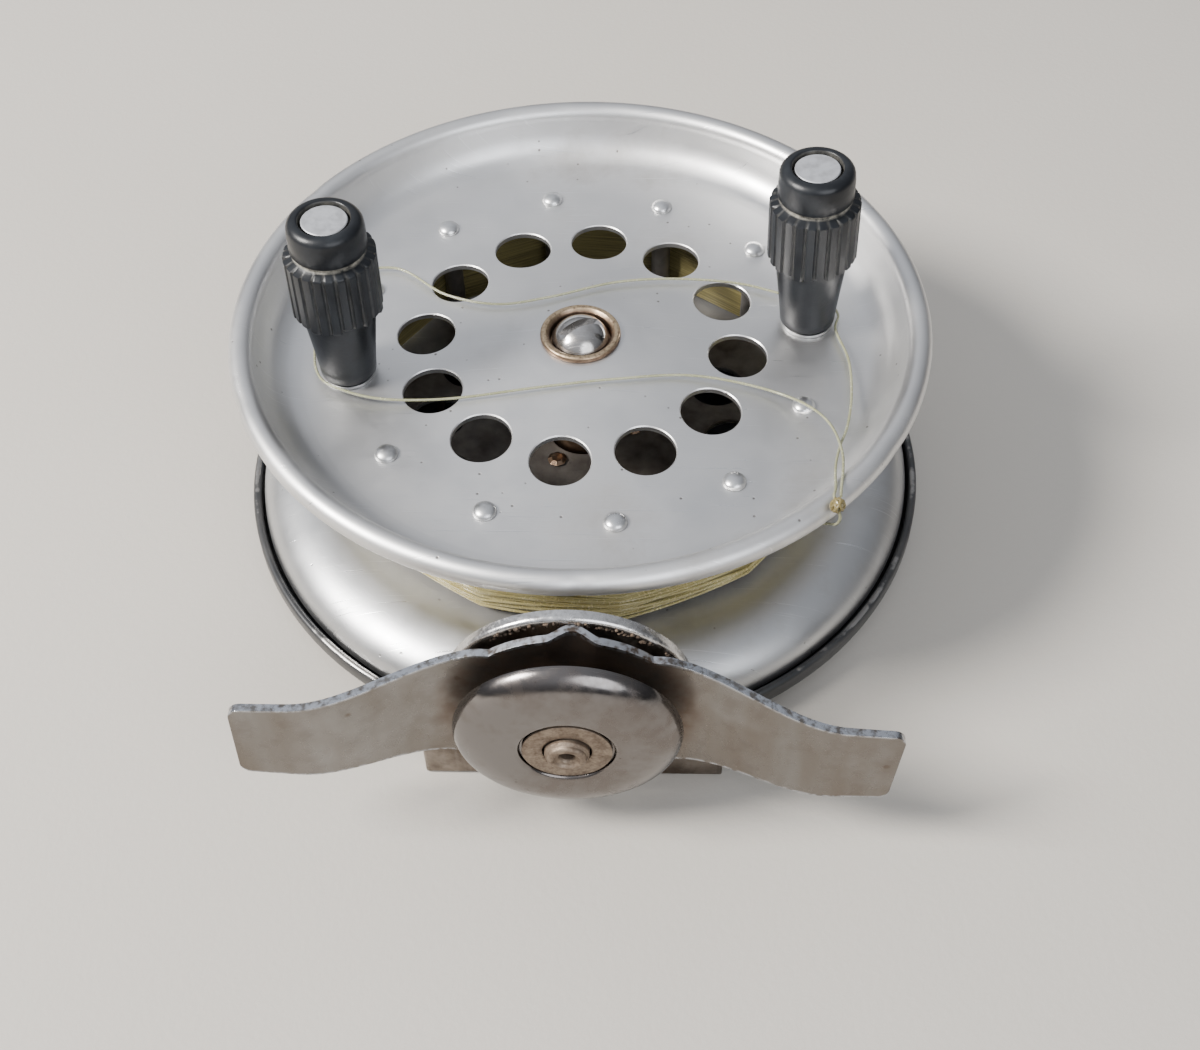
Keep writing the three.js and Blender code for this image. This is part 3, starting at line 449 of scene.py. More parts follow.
MATERIALS = {
    "front_aluminium": sheet_aluminium("spun_aluminium_front", (0.74, 0.735, 0.73), 0.42, 1.0),
    "rear_aluminium": sheet_aluminium("spun_aluminium_rear", (0.6, 0.605, 0.61), 0.36, 0.7, dusty=True),
    "pillar_aluminium": bright_rod("pillar_rod", (0.68, 0.68, 0.68), 0.3, shaded=True),
    "washer_metal": bright_rod("washer_plating", (0.4, 0.4, 0.4), 0.34),
    "handle_end": handle_end_material(),
    "plain_steel": bright_rod("turned_steel", (0.42, 0.4, 0.38), 0.3),
    "enamel": enamel_material(),
    "chrome": chrome_material("cap_chrome", (0.19, 0.178, 0.173), 0.13, (0.12, 0.095, 0.08), 0.5),
    "screw_chrome": chrome_material("screw_plating", (0.55, 0.535, 0.52), 0.1, (0.22, 0.19, 0.16), 0.5),
    "bracket_chrome": bracket_material(),
    "foot_steel": foot_material(),
    "brass": brass_material(),
    "tarnished_steel": rust_material(
        "tarnished_steel_brown", (0.27, 0.215, 0.165), (0.13, 0.095, 0.07), 0.85
    ),
    "spring_steel": rust_material("oxidised_spring_steel", (0.16, 0.11, 0.08), (0.06, 0.04, 0.03), 0.7),
    "bakelite": bakelite_material(),
    "loose_nylon": nylon_material("line_nylon", (0.45, 0.45, 0.3), (0.33, 0.33, 0.19)),
    "wound_nylon": nylon_material("wound_nylon", (0.72, 0.64, 0.33), (0.55, 0.46, 0.19)),
    "knot_nylon": nylon_material("knot_nylon", (0.4, 0.32, 0.13), (0.13, 0.1, 0.04)),
    "shaded_wound_core": winding_material(),
    "dirt": dirt_material(),
    "floor": floor_material(),
}


# ---- mesh helpers, in millimetres -----------------------------------------

SHARP_ANGLE = 38.0
SHEET_SHARP = 30.0
CUTTER_ROUND = 0.01


def mark_sharp(bm, sharp):
    """Shades all faces smooth, with a crease where they turn by more than an angle in degrees."""
    limit = math.radians(sharp)
    for face in bm.faces:
        face.smooth = True
    for edge in bm.edges:
        edge.smooth = len(edge.link_faces) == 2 and edge.calc_face_angle(0.0) < limit


def mesh_object(name, bm, materials, sharp=SHARP_ANGLE):
    """Turns a bmesh in millimetres into an object in metres. materials is one key or a list of them."""
    bmesh.ops.recalc_face_normals(bm, faces=bm.faces[:])
    bmesh.ops.scale(bm, vec=(MM, MM, MM), verts=bm.verts[:])
    mark_sharp(bm, sharp)
    mesh = bpy.data.meshes.new(name)
    bm.to_mesh(mesh)
    bm.free()
    made = new_object(name, mesh)
    for key in [materials] if isinstance(materials, str) else materials:
        mesh.materials.append(MATERIALS[key])
    return made


def place(made, body, slot, *nodes):
    """Puts a finished piece on its body and hides the CAD nodes it stands for; slot is not used."""
    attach(made, body)
    if nodes:
        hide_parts(*nodes)
    return made


def ring(bm, radius, height, count, centre=(0, 0), spin="Z", wobble=None):
    """One loop of vertices about the Z or the Y axis."""
    verts = []
    for i in range(count):
        angle = TAU * i / count
        r, h = (radius, height) if wobble is None else wobble(radius, height, angle)
        x, y = r * math.cos(angle), r * math.sin(angle)
        if spin == "Z":
            verts.append(bm.verts.new((centre[0] + x, centre[1] + y, h)))
        else:
            verts.append(bm.verts.new((centre[0] + x, h, centre[1] + y)))
    return verts


def bridge(bm, first, second):
    """Quads between two loops, or a fan where one of them is a single point."""
    count = max(len(first), len(second))
    for i in range(count):
        j = (i + 1) % count
        if len(first) == 1:
            bm.faces.new((first[0], second[j], second[i]))
        elif len(second) == 1:
            bm.faces.new((first[i], first[j], second[0]))
        else:
            bm.faces.new((first[i], first[j], second[j], second[i]))


def skin(bm, loops):
    """Bridges each loop to the next."""
    for first, second in zip(loops, loops[1:]):
        bridge(bm, first, second)


def revolve(bm, profile, segments, centre=(0, 0), spin="Z"):
    """A solid of revolution; a profile that doesn't start and end on the axis closes on itself."""
    loops = []
    for radius, height in profile:
        if radius == 0:
            spot = (centre[0], centre[1], height) if spin == "Z" else (centre[0], height, centre[1])
            loops.append([bm.verts.new(spot)])
        else:
            loops.append(ring(bm, radius, height, segments, centre, spin))
    skin(bm, loops)
    if profile[0][0] != 0 or profile[-1][0] != 0:
        bridge(bm, loops[-1], loops[0])


def oval(centre, across, up, start, end, steps):
    """Points along a part of an ellipse in a profile, angles in degrees."""
    points = []
    for i in range(steps + 1):
        angle = math.radians(start + (end - start) * i / steps)
        points.append((centre[0] + across * math.cos(angle), centre[1] + up * math.sin(angle)))
    return points


def arc(centre, radius, start, end, steps):
    return oval(centre, radius, radius, start, end, steps)


def between(a, b, c, d, t):
    """A value between b and c on the smooth curve through four values."""
    bend = 2 * a - 5 * b + 4 * c - d
    twist = 3 * b - a - 3 * c + d
    return 0.5 * (2 * b + (c - a) * t + bend * t * t + twist * t**3)


def eased(points, steps=5):
    """A smooth curve through profile points, which are kept."""
    result = []
    last = len(points) - 1
    for i in range(last):
        near = (points[max(i - 1, 0)], points[i], points[i + 1], points[min(i + 2, last)])
        for k in range(steps):
            result.append(tuple(between(*values, k / steps) for values in zip(*near)))
    result.append(tuple(points[-1]))
    return result


def bezier(a, b, c, d, t):
    """A value on the cubic curve from a to d that b and c pull at."""
    return a * (1 - t) ** 3 + 3 * b * t * (1 - t) ** 2 + 3 * c * t * t * (1 - t) + d * t**3


def rounded(profile, size, steps=3):
    """A profile with each of its corners rounded, except ends on the axis."""
    result = []
    count = len(profile)
    on_axis = profile[0][0] == 0 and profile[-1][0] == 0
    for i, corner in enumerate(profile):
        if on_axis and i in (0, count - 1):
            result.append(tuple(corner))
            continue
        here = Vector(corner)
        before = Vector(profile[i - 1]) - here
        after = Vector(profile[(i + 1) % count]) - here
        reach = min(size, 0.45 * before.length, 0.45 * after.length)
        if before.angle(after) > math.radians(160):
            result.append(tuple(corner))
            continue
        start, end = here + before.normalized() * reach, here + after.normalized() * reach
        for k in range(steps + 1):
            t = k / steps
            point = start * (1 - t) ** 2 + here * (2 * t * (1 - t)) + end * t * t
            result.append((point.x, point.y))
    return result


def turned(name, profile, material, segments=64, round_size=0.12, centre=(0, 0), spin="Z"):
    """A lathe-turned piece with softened edges."""
    bm = bmesh.new()
    revolve(bm, rounded(profile, round_size), segments, centre, spin)
    return mesh_object(name, bm, material)


def loop_edges(bm, loop):
    edges = []
    for i, vert in enumerate(loop):
        other = loop[(i + 1) % len(loop)]
        edges.append(bm.edges.get((vert, other)) or bm.edges.new((vert, other)))
    return edges


def punched_sheet(bm, outer_top, outer_bottom, holes, top, bottom, rings=(), lip=0.14):
    """Fills a flat disc between two outer loops, with a softened wall in each (x, y, radius, count) hole.

    rings are radii, largest first, that split the disc into bands.
    """
    hole_loops = []
    for x, y, radius, count in holes:
        levels = [(radius + lip, top), (radius, top - lip), (radius, bottom + lip), (radius + lip, bottom)]
        loops = [ring(bm, r, h, count, (x, y)) for r, h in levels]
        skin(bm, loops)
        hole_loops.append((math.hypot(x, y), loops[0], loops[-1]))
    limits = [math.inf, *rings, -1.0]
    for side, (outer, height) in enumerate(((outer_top, top), (outer_bottom, bottom))):
        for high, low in zip(limits, limits[1:]):
            inner = ring(bm, low, height, len(outer)) if low > 0 else None
            inside = [loops[side] for reach, *loops in hole_loops if low < reach <= high]
            if inner and not inside:
                bridge(bm, outer, inner)
            else:
                edges = [edge for loop in (outer, inner, *inside) if loop for edge in loop_edges(bm, loop)]
                bmesh.ops.triangle_fill(bm, use_beauty=True, edges=edges, normal=(0, 0, 1 - 2 * side))
            outer = inner


def tube(bm, points, radius, sides, closed=False):
    """A round tube along points, with parallel-carried sections and capped ends."""
    path = [Vector(p) for p in points]
    count = len(path)
    tangents = []
    for i in range(count):
        before = path[i - 1] if (i or closed) else path[i]
        after = path[(i + 1) % count] if (i < count - 1 or closed) else path[i]
        tangents.append((after - before).normalized())
    side = tangents[0].orthogonal().normalized()
    turns = [TAU * k / sides for k in range(sides)]
    section = [(radius * math.cos(turn), radius * math.sin(turn)) for turn in turns]
    loops = []
    for spot, tangent in zip(path, tangents):
        side = (side - tangent * side.dot(tangent)).normalized()
        up = tangent.cross(side)
        loops.append([bm.verts.new(spot + side * x + up * y) for x, y in section])
    skin(bm, loops)
    if closed:
        offset = min(range(sides), key=lambda k: (loops[-1][k].co - loops[0][0].co).length)
        bridge(bm, loops[-1][offset:] + loops[-1][:offset], loops[0])
    else:
        bm.faces.new(loops[0])
        bm.faces.new(loops[-1])


def carved(made, cutter, operation="DIFFERENCE"):
    """Applies one boolean to an object's mesh and removes the cutter."""
    step = made.modifiers.new("cut", "BOOLEAN")
    step.operation = operation
    step.solver = "EXACT"
    step.object = cutter
    graph = bpy.context.evaluated_depsgraph_get()
    result = bpy.data.meshes.new_from_object(made.evaluated_get(graph))
    made.modifiers.clear()
    made.data = result
    bpy.data.objects.remove(cutter)


def bored(made, material, radius, low, high, centre=(0, 0), spin="Z"):
    """Cuts a straight round hole from one height to another."""
    profile = [(0, low), (radius, low), (radius, high), (0, high)]
    carved(made, turned("bore", profile, material, 48, CUTTER_ROUND, centre, spin))


def reshaded(made):
    """Marks sharp edges again after a boolean."""
    bm = bmesh.new()
    bm.from_mesh(made.data)
    mark_sharp(bm, SHARP_ANGLE)
    bm.to_mesh(made.data)
    bm.free()


def edge_softened(made, width, segments=2, angle=SHARP_ANGLE):
    """Rounds the crisp edges of a piece by a real width in millimetres."""
    step = made.modifiers.new("soft_edges", "BEVEL")
    step.width = width * MM
    step.segments = segments
    step.limit_method = "ANGLE"
    step.angle_limit = math.radians(angle)
    return made


def paint(made, name, value_at):
    """Writes a number at each vertex, for a material to read. value_at takes the place in millimetres."""
    layer = made.data.attributes.new(name, "FLOAT", "POINT")
    for i, vert in enumerate(made.data.vertices):
        layer.data[i].value = value_at(vert.co / MM)


def smoothstep(start, end, value):
    t = min(1.0, max(0.0, (value - start) / (end - start)))
    return t * t * (3 - 2 * t)


# ---- loose line and its knot ----------------------------------------------

LINE_RADIUS = 0.21
LINE_ROUTE = [
    (0.02583, -0.02869, 0.0254),
    (0.0303, -0.0339, 0.0285),
    (0.0325, -0.0364, 0.0324),
    (0.0339, -0.0379, 0.0342),
    (0.03415, -0.0382, 0.036),
    (0.03369, -0.03769, 0.03705),
    (0.03335, -0.0363, 0.03775),
    (0.03368, -0.0348, 0.0373),
    (0.0342, -0.0297, 0.03585),
    (0.03543, -0.02419, 0.0341),
    (0.03681, -0.01967, 0.0326),
    (0.0383, -0.0115, 0.0306),
    (0.0386, -0.0035, 0.0297),
    (0.03722, 0.00326, 0.02962),
    (0.03782, 0.00596, 0.02962),
    (0.03676, 0.00852, 0.02962),
    (0.03443, 0.01001, 0.02962),
    (0.0315, 0.01005, 0.0296),
    (0.02359, 0.01283, 0.02955),
    (0.01398, 0.01329, 0.03003),
    (0.00503, 0.01172, 0.03071),
    (-0.00484, 0.00782, 0.03119),
    (-0.01235, 0.00694, 0.03054),
    (-0.02043, 0.00978, 0.02977),
    (-0.029, 0.0162, 0.02942),
    (-0.0365, 0.014, 0.0294),
    (-0.0393, 0.006, 0.0295),
    (-0.0386, -0.0022, 0.0299),
    (-0.0378, -0.0064, 0.0302),
    (-0.0364, -0.009, 0.0303),
    (-0.034, -0.01045, 0.0302),
    (-0.0289, -0.0118, 0.02975),
    (-0.0195, -0.012, 0.02975),
    (-0.00487, -0.01045, 0.03087),
    (0.00504, -0.00903, 0.03103),
    (0.0165, -0.0074, 0.03015),
    (0.02811, -0.01067, 0.0301),
    (0.0336, -0.017, 0.0323),
    (0.03535, -0.0263, 0.0353),
    (0.03425, -0.0361, 0.0375),
]
KNOT_SHIFT = Vector((0.1, 0.4, 0.1))
KNOT_RADIUS = 0.78


def smooth_route(points, steps):
    """A centripetal Catmull-Rom curve through the points."""
    route = [Vector(p) for p in points]
    route = [2 * route[0] - route[1], *route, 2 * route[-1] - route[-2]]
    result = []
    for i in range(1, len(route) - 2):
        p0, p1, p2, p3 = route[i - 1 : i + 3]
        t0 = 0.0
        t1 = t0 + math.sqrt((p1 - p0).length)
        t2 = t1 + math.sqrt((p2 - p1).length)
        t3 = t2 + math.sqrt((p3 - p2).length)
        for k in range(steps):
            t = t1 + (t2 - t1) * k / steps
            a1 = p0 * ((t1 - t) / (t1 - t0)) + p1 * ((t - t0) / (t1 - t0))
            a2 = p1 * ((t2 - t) / (t2 - t1)) + p2 * ((t - t1) / (t2 - t1))
            a3 = p2 * ((t3 - t) / (t3 - t2)) + p3 * ((t - t2) / (t3 - t2))
            b1 = a1 * ((t2 - t) / (t2 - t0)) + a2 * ((t - t0) / (t2 - t0))
            b2 = a2 * ((t3 - t) / (t3 - t1)) + a3 * ((t - t1) / (t3 - t1))
            result.append(b1 * ((t2 - t) / (t2 - t1)) + b2 * ((t - t1) / (t2 - t1)))
    result.append(route[-2].copy())
    return result


def make_knot():
    """Wraps of line wound over each other into a small ball on the rim."""
    centre = centre_mm("line_knot") + KNOT_SHIFT
    wraps = 8
    steps_per_wrap = 22
    points = []
    for i in range(wraps * steps_per_wrap + 1):
        turn = i / steps_per_wrap
        angle = TAU * turn
        lean = TAU * 0.137 * turn
        swell = KNOT_RADIUS * (1 - 0.14 * math.sin(2.3 * turn))
        first = Vector((math.cos(lean), math.sin(lean), 0.25 * math.sin(1.7 * turn)))
        second = Vector((-0.3 * math.sin(lean), 0.3 * math.cos(lean), 1.0))
        spot = (first * math.cos(angle) + second * math.sin(angle)).normalized() * swell
        points.append(centre + Vector((spot.x, spot.y * 1.15, spot.z)))
    bm = bmesh.new()
    tube(bm, points, LINE_RADIUS, 8)
    return place(mesh_object("line_knot_wraps", bm, "knot_nylon"), "spool", "nylon_line", "line_knot")


def make_loose_line(knot):
    route = smooth_route(LINE_ROUTE, 8)
    data = bpy.data.curves.new("loose_line_strand", "CURVE")
    data.dimensions = "3D"
    data.bevel_depth = 0.92 * LINE_RADIUS * MM
    data.bevel_resolution = 3
    data.use_fill_caps = True
    spline = data.splines.new("POLY")
    spline.points.add(len(route) - 1)
    for point, spot in zip(spline.points, route):
        point.co = (*spot, 1)
    spline.use_smooth = True
    data.materials.append(MATERIALS["loose_nylon"])
    strand = new_object("loose_line_strand", data)
    place(strand, "spool", "nylon_line", "loose_line")


make_loose_line(make_knot())


# ---- flanges --------------------------------------------------------------

FLAT_RADIUS = 40.5
BEAD_MAJOR = 48.2
BEAD_RADIUS = 1.75
REAR_BEAD = (48.5, 4.7)
REAR_BEAD_RADIUS = 1.6
BORE_RADIUS = 5.2
VENT_CIRCLE = 22.9
VENT_RADIUS = 4.28
VENT_PHASE = 84.65
PLACES = 12
RIM_SEGMENTS = 240
DOME_RADIUS = 34.0
DOME_FLAT = 6.5
DOME_RISE = 2.2

# Knocks in the rolled rim: direction in degrees, half width in degrees, depth in millimetres.
RIM_KNOCKS = [
    (-88.4, 1.3, 0.22),
    (-84.6, 0.9, 0.12),
    (-31.0, 1.6, 0.1),
    (148.0, 1.4, 0.12),
    (202.0, 2.0, 0.1),
]
KNOCK_REACH = 2.5
PILLAR_HOLE = 1.2


def dome_lift(radius):
    """How far the floor of the front flange stands above its flat border."""
    inward = (DOME_RADIUS - max(DOME_FLAT, radius)) / (DOME_RADIUS - DOME_FLAT)
    return DOME_RISE * max(0.0, inward) ** 2


def hole_at(node, radius, count):
    """A hole for punched_sheet in line with a CAD node."""
    middle = centre_mm(node)
    return middle.x, middle.y, radius, count


def cage_holes(handle_hole):
    """The bore, the vents and the pillar and handle holes of a flange."""
    holes = [(0, 0, BORE_RADIUS, 96)]
    for i in range(PLACES):
        angle = math.radians(VENT_PHASE + 360 / PLACES * i)
        holes.append((VENT_CIRCLE * math.cos(angle), VENT_CIRCLE * math.sin(angle), VENT_RADIUS, 56))
    holes += [hole_at(node, PILLAR_HOLE, 16) for node in PILLARS]
    return holes + [hole_at(f"handle_washer_{side}", handle_hole, 24) for side in SIDES]


def knocked(radius, height, angle):
    """Slight unevenness of the rim, with a few knocks."""
    if radius < BEAD_MAJOR - KNOCK_REACH:
        return radius, height
    degrees = math.degrees(angle)
    push = 0.0
    for direction, width, depth in RIM_KNOCKS:
        away = (degrees - direction + 180) % 360 - 180
        push += depth * math.exp(-((away / width) ** 2))
    share = smoothstep(BEAD_MAJOR - KNOCK_REACH, BEAD_MAJOR, radius)
    return radius - push * share, height - 0.5 * push * share


def dished(bm, face, back, face_side, rim, back_side, holes, rings=(), wobble=None):
    """A sheet pressing: a punched flat floor whose two faces run out to a rim."""
    profile = [*eased(face_side), *rim, *eased(back_side)]
    loops = [ring(bm, radius, height, RIM_SEGMENTS, wobble=wobble) for radius, height in profile]
    skin(bm, loops)
    top, bottom = (face, back) if face > back else (back, face)
    outer_top, outer_bottom = (loops[0], loops[-1]) if face > back else (loops[-1], loops[0])
    punched_sheet(bm, outer_top, outer_bottom, holes, top, bottom, rings)


def raise_dome(bm):
    """Splits the longer edges of the floor, then lifts it into its dome."""
    bm.normal_update()
    for _ in range(2):
        floor_edges = []
        for edge in bm.edges:
            inside = all(vert.co.xy.length < DOME_RADIUS + 2 for vert in edge.verts)
            level = all(abs(face.normal.z) > 0.9 for face in edge.link_faces)
            if inside and level and edge.calc_length() > 1.9:
                floor_edges.append(edge)
        bmesh.ops.subdivide_edges(bm, edges=floor_edges, cuts=1)
    for vert in bm.verts:
        vert.co.z += dome_lift(vert.co.xy.length)


def make_front_flange():
    face, back = FRONT_FACE, FRONT_INNER
    bead = (BEAD_MAJOR, box_mm("front_flange")[1].z - BEAD_RADIUS)
    face_side = [(FLAT_RADIUS, face), (42.6, face + 0.35), (44.5, face + 1.6)]
    face_side += [(45.7, face + 3.4), (46.42, face + 5.6)]
    rim = arc(bead, BEAD_RADIUS - 0.05, 188, -110, 26)
    back_side = [(46.75, back + 4.0), (45.3, back + 1.7), (42.9, back + 0.25), (FLAT_RADIUS, back)]
    bm = bmesh.new()
    rings = (36.4, 31.4, 29.6, 28.0, 17.8, 14.6, 11.4, 8.4)
    dished(bm, face, back, face_side, rim, back_side, cage_holes(2.1), rings, knocked)
    raise_dome(bm)
    made = mesh_object("front_flange_skin", bm, "front_aluminium", sharp=SHEET_SHARP)
    place(made, "spool", "spun_aluminium", "front_flange")


def make_rear_flange():
    face, back = REAR_FACE, REAR_BACK
    reach, rise = REAR_BEAD[0] + REAR_BEAD_RADIUS - FLAT_RADIUS, face - REAR_BEAD[1]
    middle = (FLAT_RADIUS, REAR_BEAD[1])
    shoulder = oval(middle, reach, rise, 90, 0, 14)
    under = oval(middle, reach - SHEET, rise - SHEET, 25, 90, 8)
    rim = arc(REAR_BEAD, REAR_BEAD_RADIUS, -15, -240, 20)
    bm = bmesh.new()
    dished(bm, face, back, shoulder, rim, under, cage_holes(1.5))
    made = mesh_object("rear_flange_skin", bm, "rear_aluminium", sharp=SHEET_SHARP)
    # Dust and painted shade on the pack side inside the line's bore.
    paint(made, "dust", lambda spot: smoothstep(37.5, 35.2, spot.xy.length) if spot.z > face - 0.6 else 0.0)
    place(made, "spool", "spun_aluminium", "rear_flange")


make_front_flange()
make_rear_flange()


# ---- back plate and strap rivets ------------------------------------------

STRAP_RIVETS = [f"bracket_rivet_{i + 1}" for i in range(4)]
PLATE_WALL = 1.3
PLATE_FLOOR = 0.9
PIVOT_HOLE = 3.3
RIVET_SEAT = 1.2


def make_back_plate():
    bottom, top = PLATE_LOW.z, PLATE_HIGH.z
    floor = bottom + PLATE_FLOOR
    outer, inner = PLATE_RADIUS, PLATE_RADIUS - PLATE_WALL
    inner_side = [(inner - 1.4, floor), (inner - 0.4, floor + 0.25)]
    inner_side += [(inner, floor + 0.9), (inner, top - 0.65)]
    rim = arc(((outer + inner) / 2, top - 0.6), 0.62, 175, 5, 10)
    outer_side = [(outer, bottom + 1.6), (outer - 0.4, bottom + 0.5)]
    outer_side += [(outer - 1.6, bottom), (inner - 1.4, bottom)]
    holes = [(0, 0, PIVOT_HOLE, 40)]
    holes += [hole_at(node, 1.5, 20) for node in STRAP_RIVETS]
    holes += [hole_at("pawl_post", 1.6, 20), hole_at("click_spring_rivet", 1.2, 20)]
    bm = bmesh.new()
    dished(bm, floor, bottom, inner_side, rim, outer_side, holes)
    made = mesh_object("back_plate_skin", bm, "enamel", sharp=SHEET_SHARP)
    paint(made, "edge", lambda spot: smoothstep(top - 0.35, top - 0.02, spot.z))
    place(made, "frame", "black_enamel", "back_plate")


def make_strap_rivets():
    for node in STRAP_RIVETS:
        low, high = box_mm(node)
        middle = (low + high) / 2
        seat = PLATE_LOW.z + RIVET_SEAT
        profile = [(0, low.z), (2.4, low.z), (1.2, 1.1), (1.2, seat), (2.3, seat)]
        profile += [(r, min(h, high.z)) for r, h in arc((0, seat), 2.25, 8, 60, 4)]
        profile.append((0, high.z))
        made = turned(f"{node}_turned", profile, "plain_steel", 32, 0.08, (middle.x, middle.y))
        place(made, "frame", "plain_steel", node)


make_back_plate()
make_strap_rivets()


# ---- bracket --------------------------------------------------------------

ARCH_RADIUS = 16.1
BRACKET_SHOULDER = 6.0
BRACKET_SHEET = 1.5
EDGE_ROUND = 0.65
CHANNEL = (10.0, 15.3)
CHANNEL_FLOOR = -54.15
STRAP_NECK = 12.5
STRAP_THICKNESS = 1.5
PIVOT_XZ = (PIVOT.x, PIVOT.z)


def bracket_outline(inset, arc_steps=72):
    """Front view of the upright plate, [x, z], moved in from its edge by inset."""
    half = BRACKET_HIGH.x
    drop = PIVOT.z - BRACKET_SHOULDER
    reach = math.hypot(half, drop)
    tangent = math.acos(ARCH_RADIUS / reach) - math.atan2(drop, half)
    radius = ARCH_RADIUS - inset
    points = [(-half + inset, inset), (half - inset, inset), (half - inset, BRACKET_SHOULDER)]
    for i in range(arc_steps + 1):
        angle = tangent + (math.pi - 2 * tangent) * i / arc_steps
        points.append((radius * math.cos(angle), PIVOT.z + radius * math.sin(angle)))
    points.append((-half + inset, BRACKET_SHOULDER))
    return points


def make_bracket():
    front, back = BRACKET_LOW.y, BRACKET_LOW.y + BRACKET_SHEET
    bm = bmesh.new()
    steps = 7
    loops = [[bm.verts.new((x, back, z)) for x, z in bracket_outline(0)]]
    for i in range(steps + 1):
        angle = math.pi / 2 * i / steps
        inset = EDGE_ROUND * (1 - math.cos(angle))
        depth = front + EDGE_ROUND * (1 - math.sin(angle))
        loops.append([bm.verts.new((x, depth, z)) for x, z in bracket_outline(inset)])
    skin(bm, loops)
    bm.faces.new(loops[0])
    bm.faces.new(loops[-1])
    upright = mesh_object("bracket_skin", bm, "bracket_chrome")
    carved(upright, strap_solid(back), "UNION")
    outer_corner = arc((CHANNEL[1] - 0.5, CHANNEL_FLOOR - 0.5), 0.5, 0, 90, 4)
    inner_corner = arc((CHANNEL[0] + 0.5, CHANNEL_FLOOR - 0.5), 0.5, 90, 180, 4)
    channel = [(CHANNEL[0], front - 1), (CHANNEL[1], front - 1), *outer_corner, *inner_corner]
    carved(upright, turned("channel", channel, "bracket_chrome", 128, CUTTER_ROUND, PIVOT_XZ, "Y"))
    bored(upright, "bracket_chrome", PIVOT_HOLE, front - 1, back + 1, PIVOT_XZ, "Y")
    bored(upright, "bracket_chrome", PIVOT_HOLE, -1, 4)
    for node in STRAP_RIVETS:
        middle = centre_mm(node)
        sink = [(0, -0.2), (2.7, -0.2), (2.7, 0.0), (1.5, 1.1), (1.5, 3), (0, 3)]
        carved(upright, turned("sink", sink, "bracket_chrome", 32, CUTTER_ROUND, (middle.x, middle.y)))
    reshaded(upright)
    # The upper rim carries a painted highlight.
    paint(upright, "edge", rim_highlight_nearness)
    place(upright, "frame", "bracket_chrome", "foot_bracket")


def rim_highlight_nearness(spot):
    """1 on the outer rim of the upright plate, where the painted highlight goes, 0 a little way in from it.
    """
    height = spot.z - PIVOT.z
    reach = math.hypot(spot.x, height) if height > 0 else 0.0
    return smoothstep(ARCH_RADIUS - 0.75, ARCH_RADIUS - 0.25, reach)


def strap_solid(back):
    """The strap under the back plate, narrowing past the wide end that carries the bracket."""
    wide, neck, end = BRACKET_HIGH.x, STRAP_NECK, BRACKET_HIGH.y
    right = [(wide, back - 1.0), (wide, -36)]
    steps = 16
    for i in range(1, steps + 1):
        t = i / steps
        right.append((bezier(wide, wide, neck, neck, t), bezier(-36, -24, -26, -14, t)))
    outline = right + arc((0, end - neck), neck, 0, 180, 32) + [(-x, y) for x, y in reversed(right)]
    bm = bmesh.new()
    low = [bm.verts.new((x, y, 0)) for x, y in outline]
    high = [bm.verts.new((x, y, STRAP_THICKNESS)) for x, y in outline]
    bridge(bm, low, high)
    bm.faces.new(low)
    bm.faces.new(high)
    return mesh_object("strap", bm, "bracket_chrome")


def make_bracket_dirt():
    """Crumbs of dirt packed between the arch and the foot."""
    rng = random.Random(11)
    bm = bmesh.new()
    for _ in range(150):
        angle = math.radians(90 + rng.gauss(0, 34))
        radius = rng.uniform(14.4, 15.5)
        size = rng.uniform(0.08, 0.26)
        depth = BRACKET_LOW.y if radius > CHANNEL[1] else CHANNEL_FLOOR - 0.3
        spot = Vector((radius * math.cos(angle), depth - 0.4 * size, PIVOT.z + radius * math.sin(angle)))
        lump = bmesh.ops.create_icosphere(bm, subdivisions=2, radius=size)["verts"]
        stretch = Vector((rng.uniform(0.7, 1.4), rng.uniform(0.5, 1.0), rng.uniform(0.7, 1.3)))
        for vert in lump:
            jag = 1 + 0.25 * math.sin(vert.co.x * 61 + vert.co.y * 47 + angle * 9) * math.cos(vert.co.z * 53)
            vert.co = spot + Vector([c * k * jag for c, k in zip(vert.co, stretch)])
    place(mesh_object("bracket_dirt", bm, "dirt", sharp=180), "frame", "bracket_chrome")


make_bracket()
make_bracket_dirt()


# ---- foot -----------------------------------------------------------------

FOOT_TURN = 3.2
FOOT_THICKNESS = 1.05
HUMP_RADIUS = 15.15
HUMP_HALF_CHORD = 10.1
FOOT_FRONT = -57.3
TIP_FRONT = box_mm("foot")[0].y
FOOT_HALF_LENGTH = 41.3
CORNER_RADIUS = 1.6
TOOTH = {"depth": 1.9, "half_width": 3.0, "bottom": 9.5, "blunt": 0.18, "blunt_width": 0.45}
WING = {"end": 6.6, "swell": 4.7, "start": 12.0, "fall": 12.5}
WING_SWEEP = (13, 34)


def foot_half_width(x):
    if x < HUMP_HALF_CHORD:
        return math.sqrt(HUMP_RADIUS**2 - x * x)
    width = WING["end"] + WING["swell"] * math.exp(-max(0.0, x - WING["start"]) / WING["fall"])
    past = max(0.0, x - (FOOT_HALF_LENGTH - CORNER_RADIUS))
    return width - (CORNER_RADIUS - math.sqrt(max(0.0, CORNER_RADIUS**2 - past * past)))


def foot_front(x):
    return FOOT_FRONT + (TIP_FRONT - FOOT_FRONT) * smoothstep(*WING_SWEEP, x)


def tooth_depth(x, height):
    """How far the foot's front is pressed in at the detent tooth, a V with a blunted crease."""
    across = max(0.0, 1 - x / TOOTH["half_width"])
    up = (height - TOOTH["bottom"]) / (HUMP_RADIUS - TOOTH["bottom"])
    crease = 1 - TOOTH["blunt"] * math.exp(-((x / TOOTH["blunt_width"]) ** 2))
    return TOOTH["depth"] * across * crease * min(1.0, max(0.0, up))


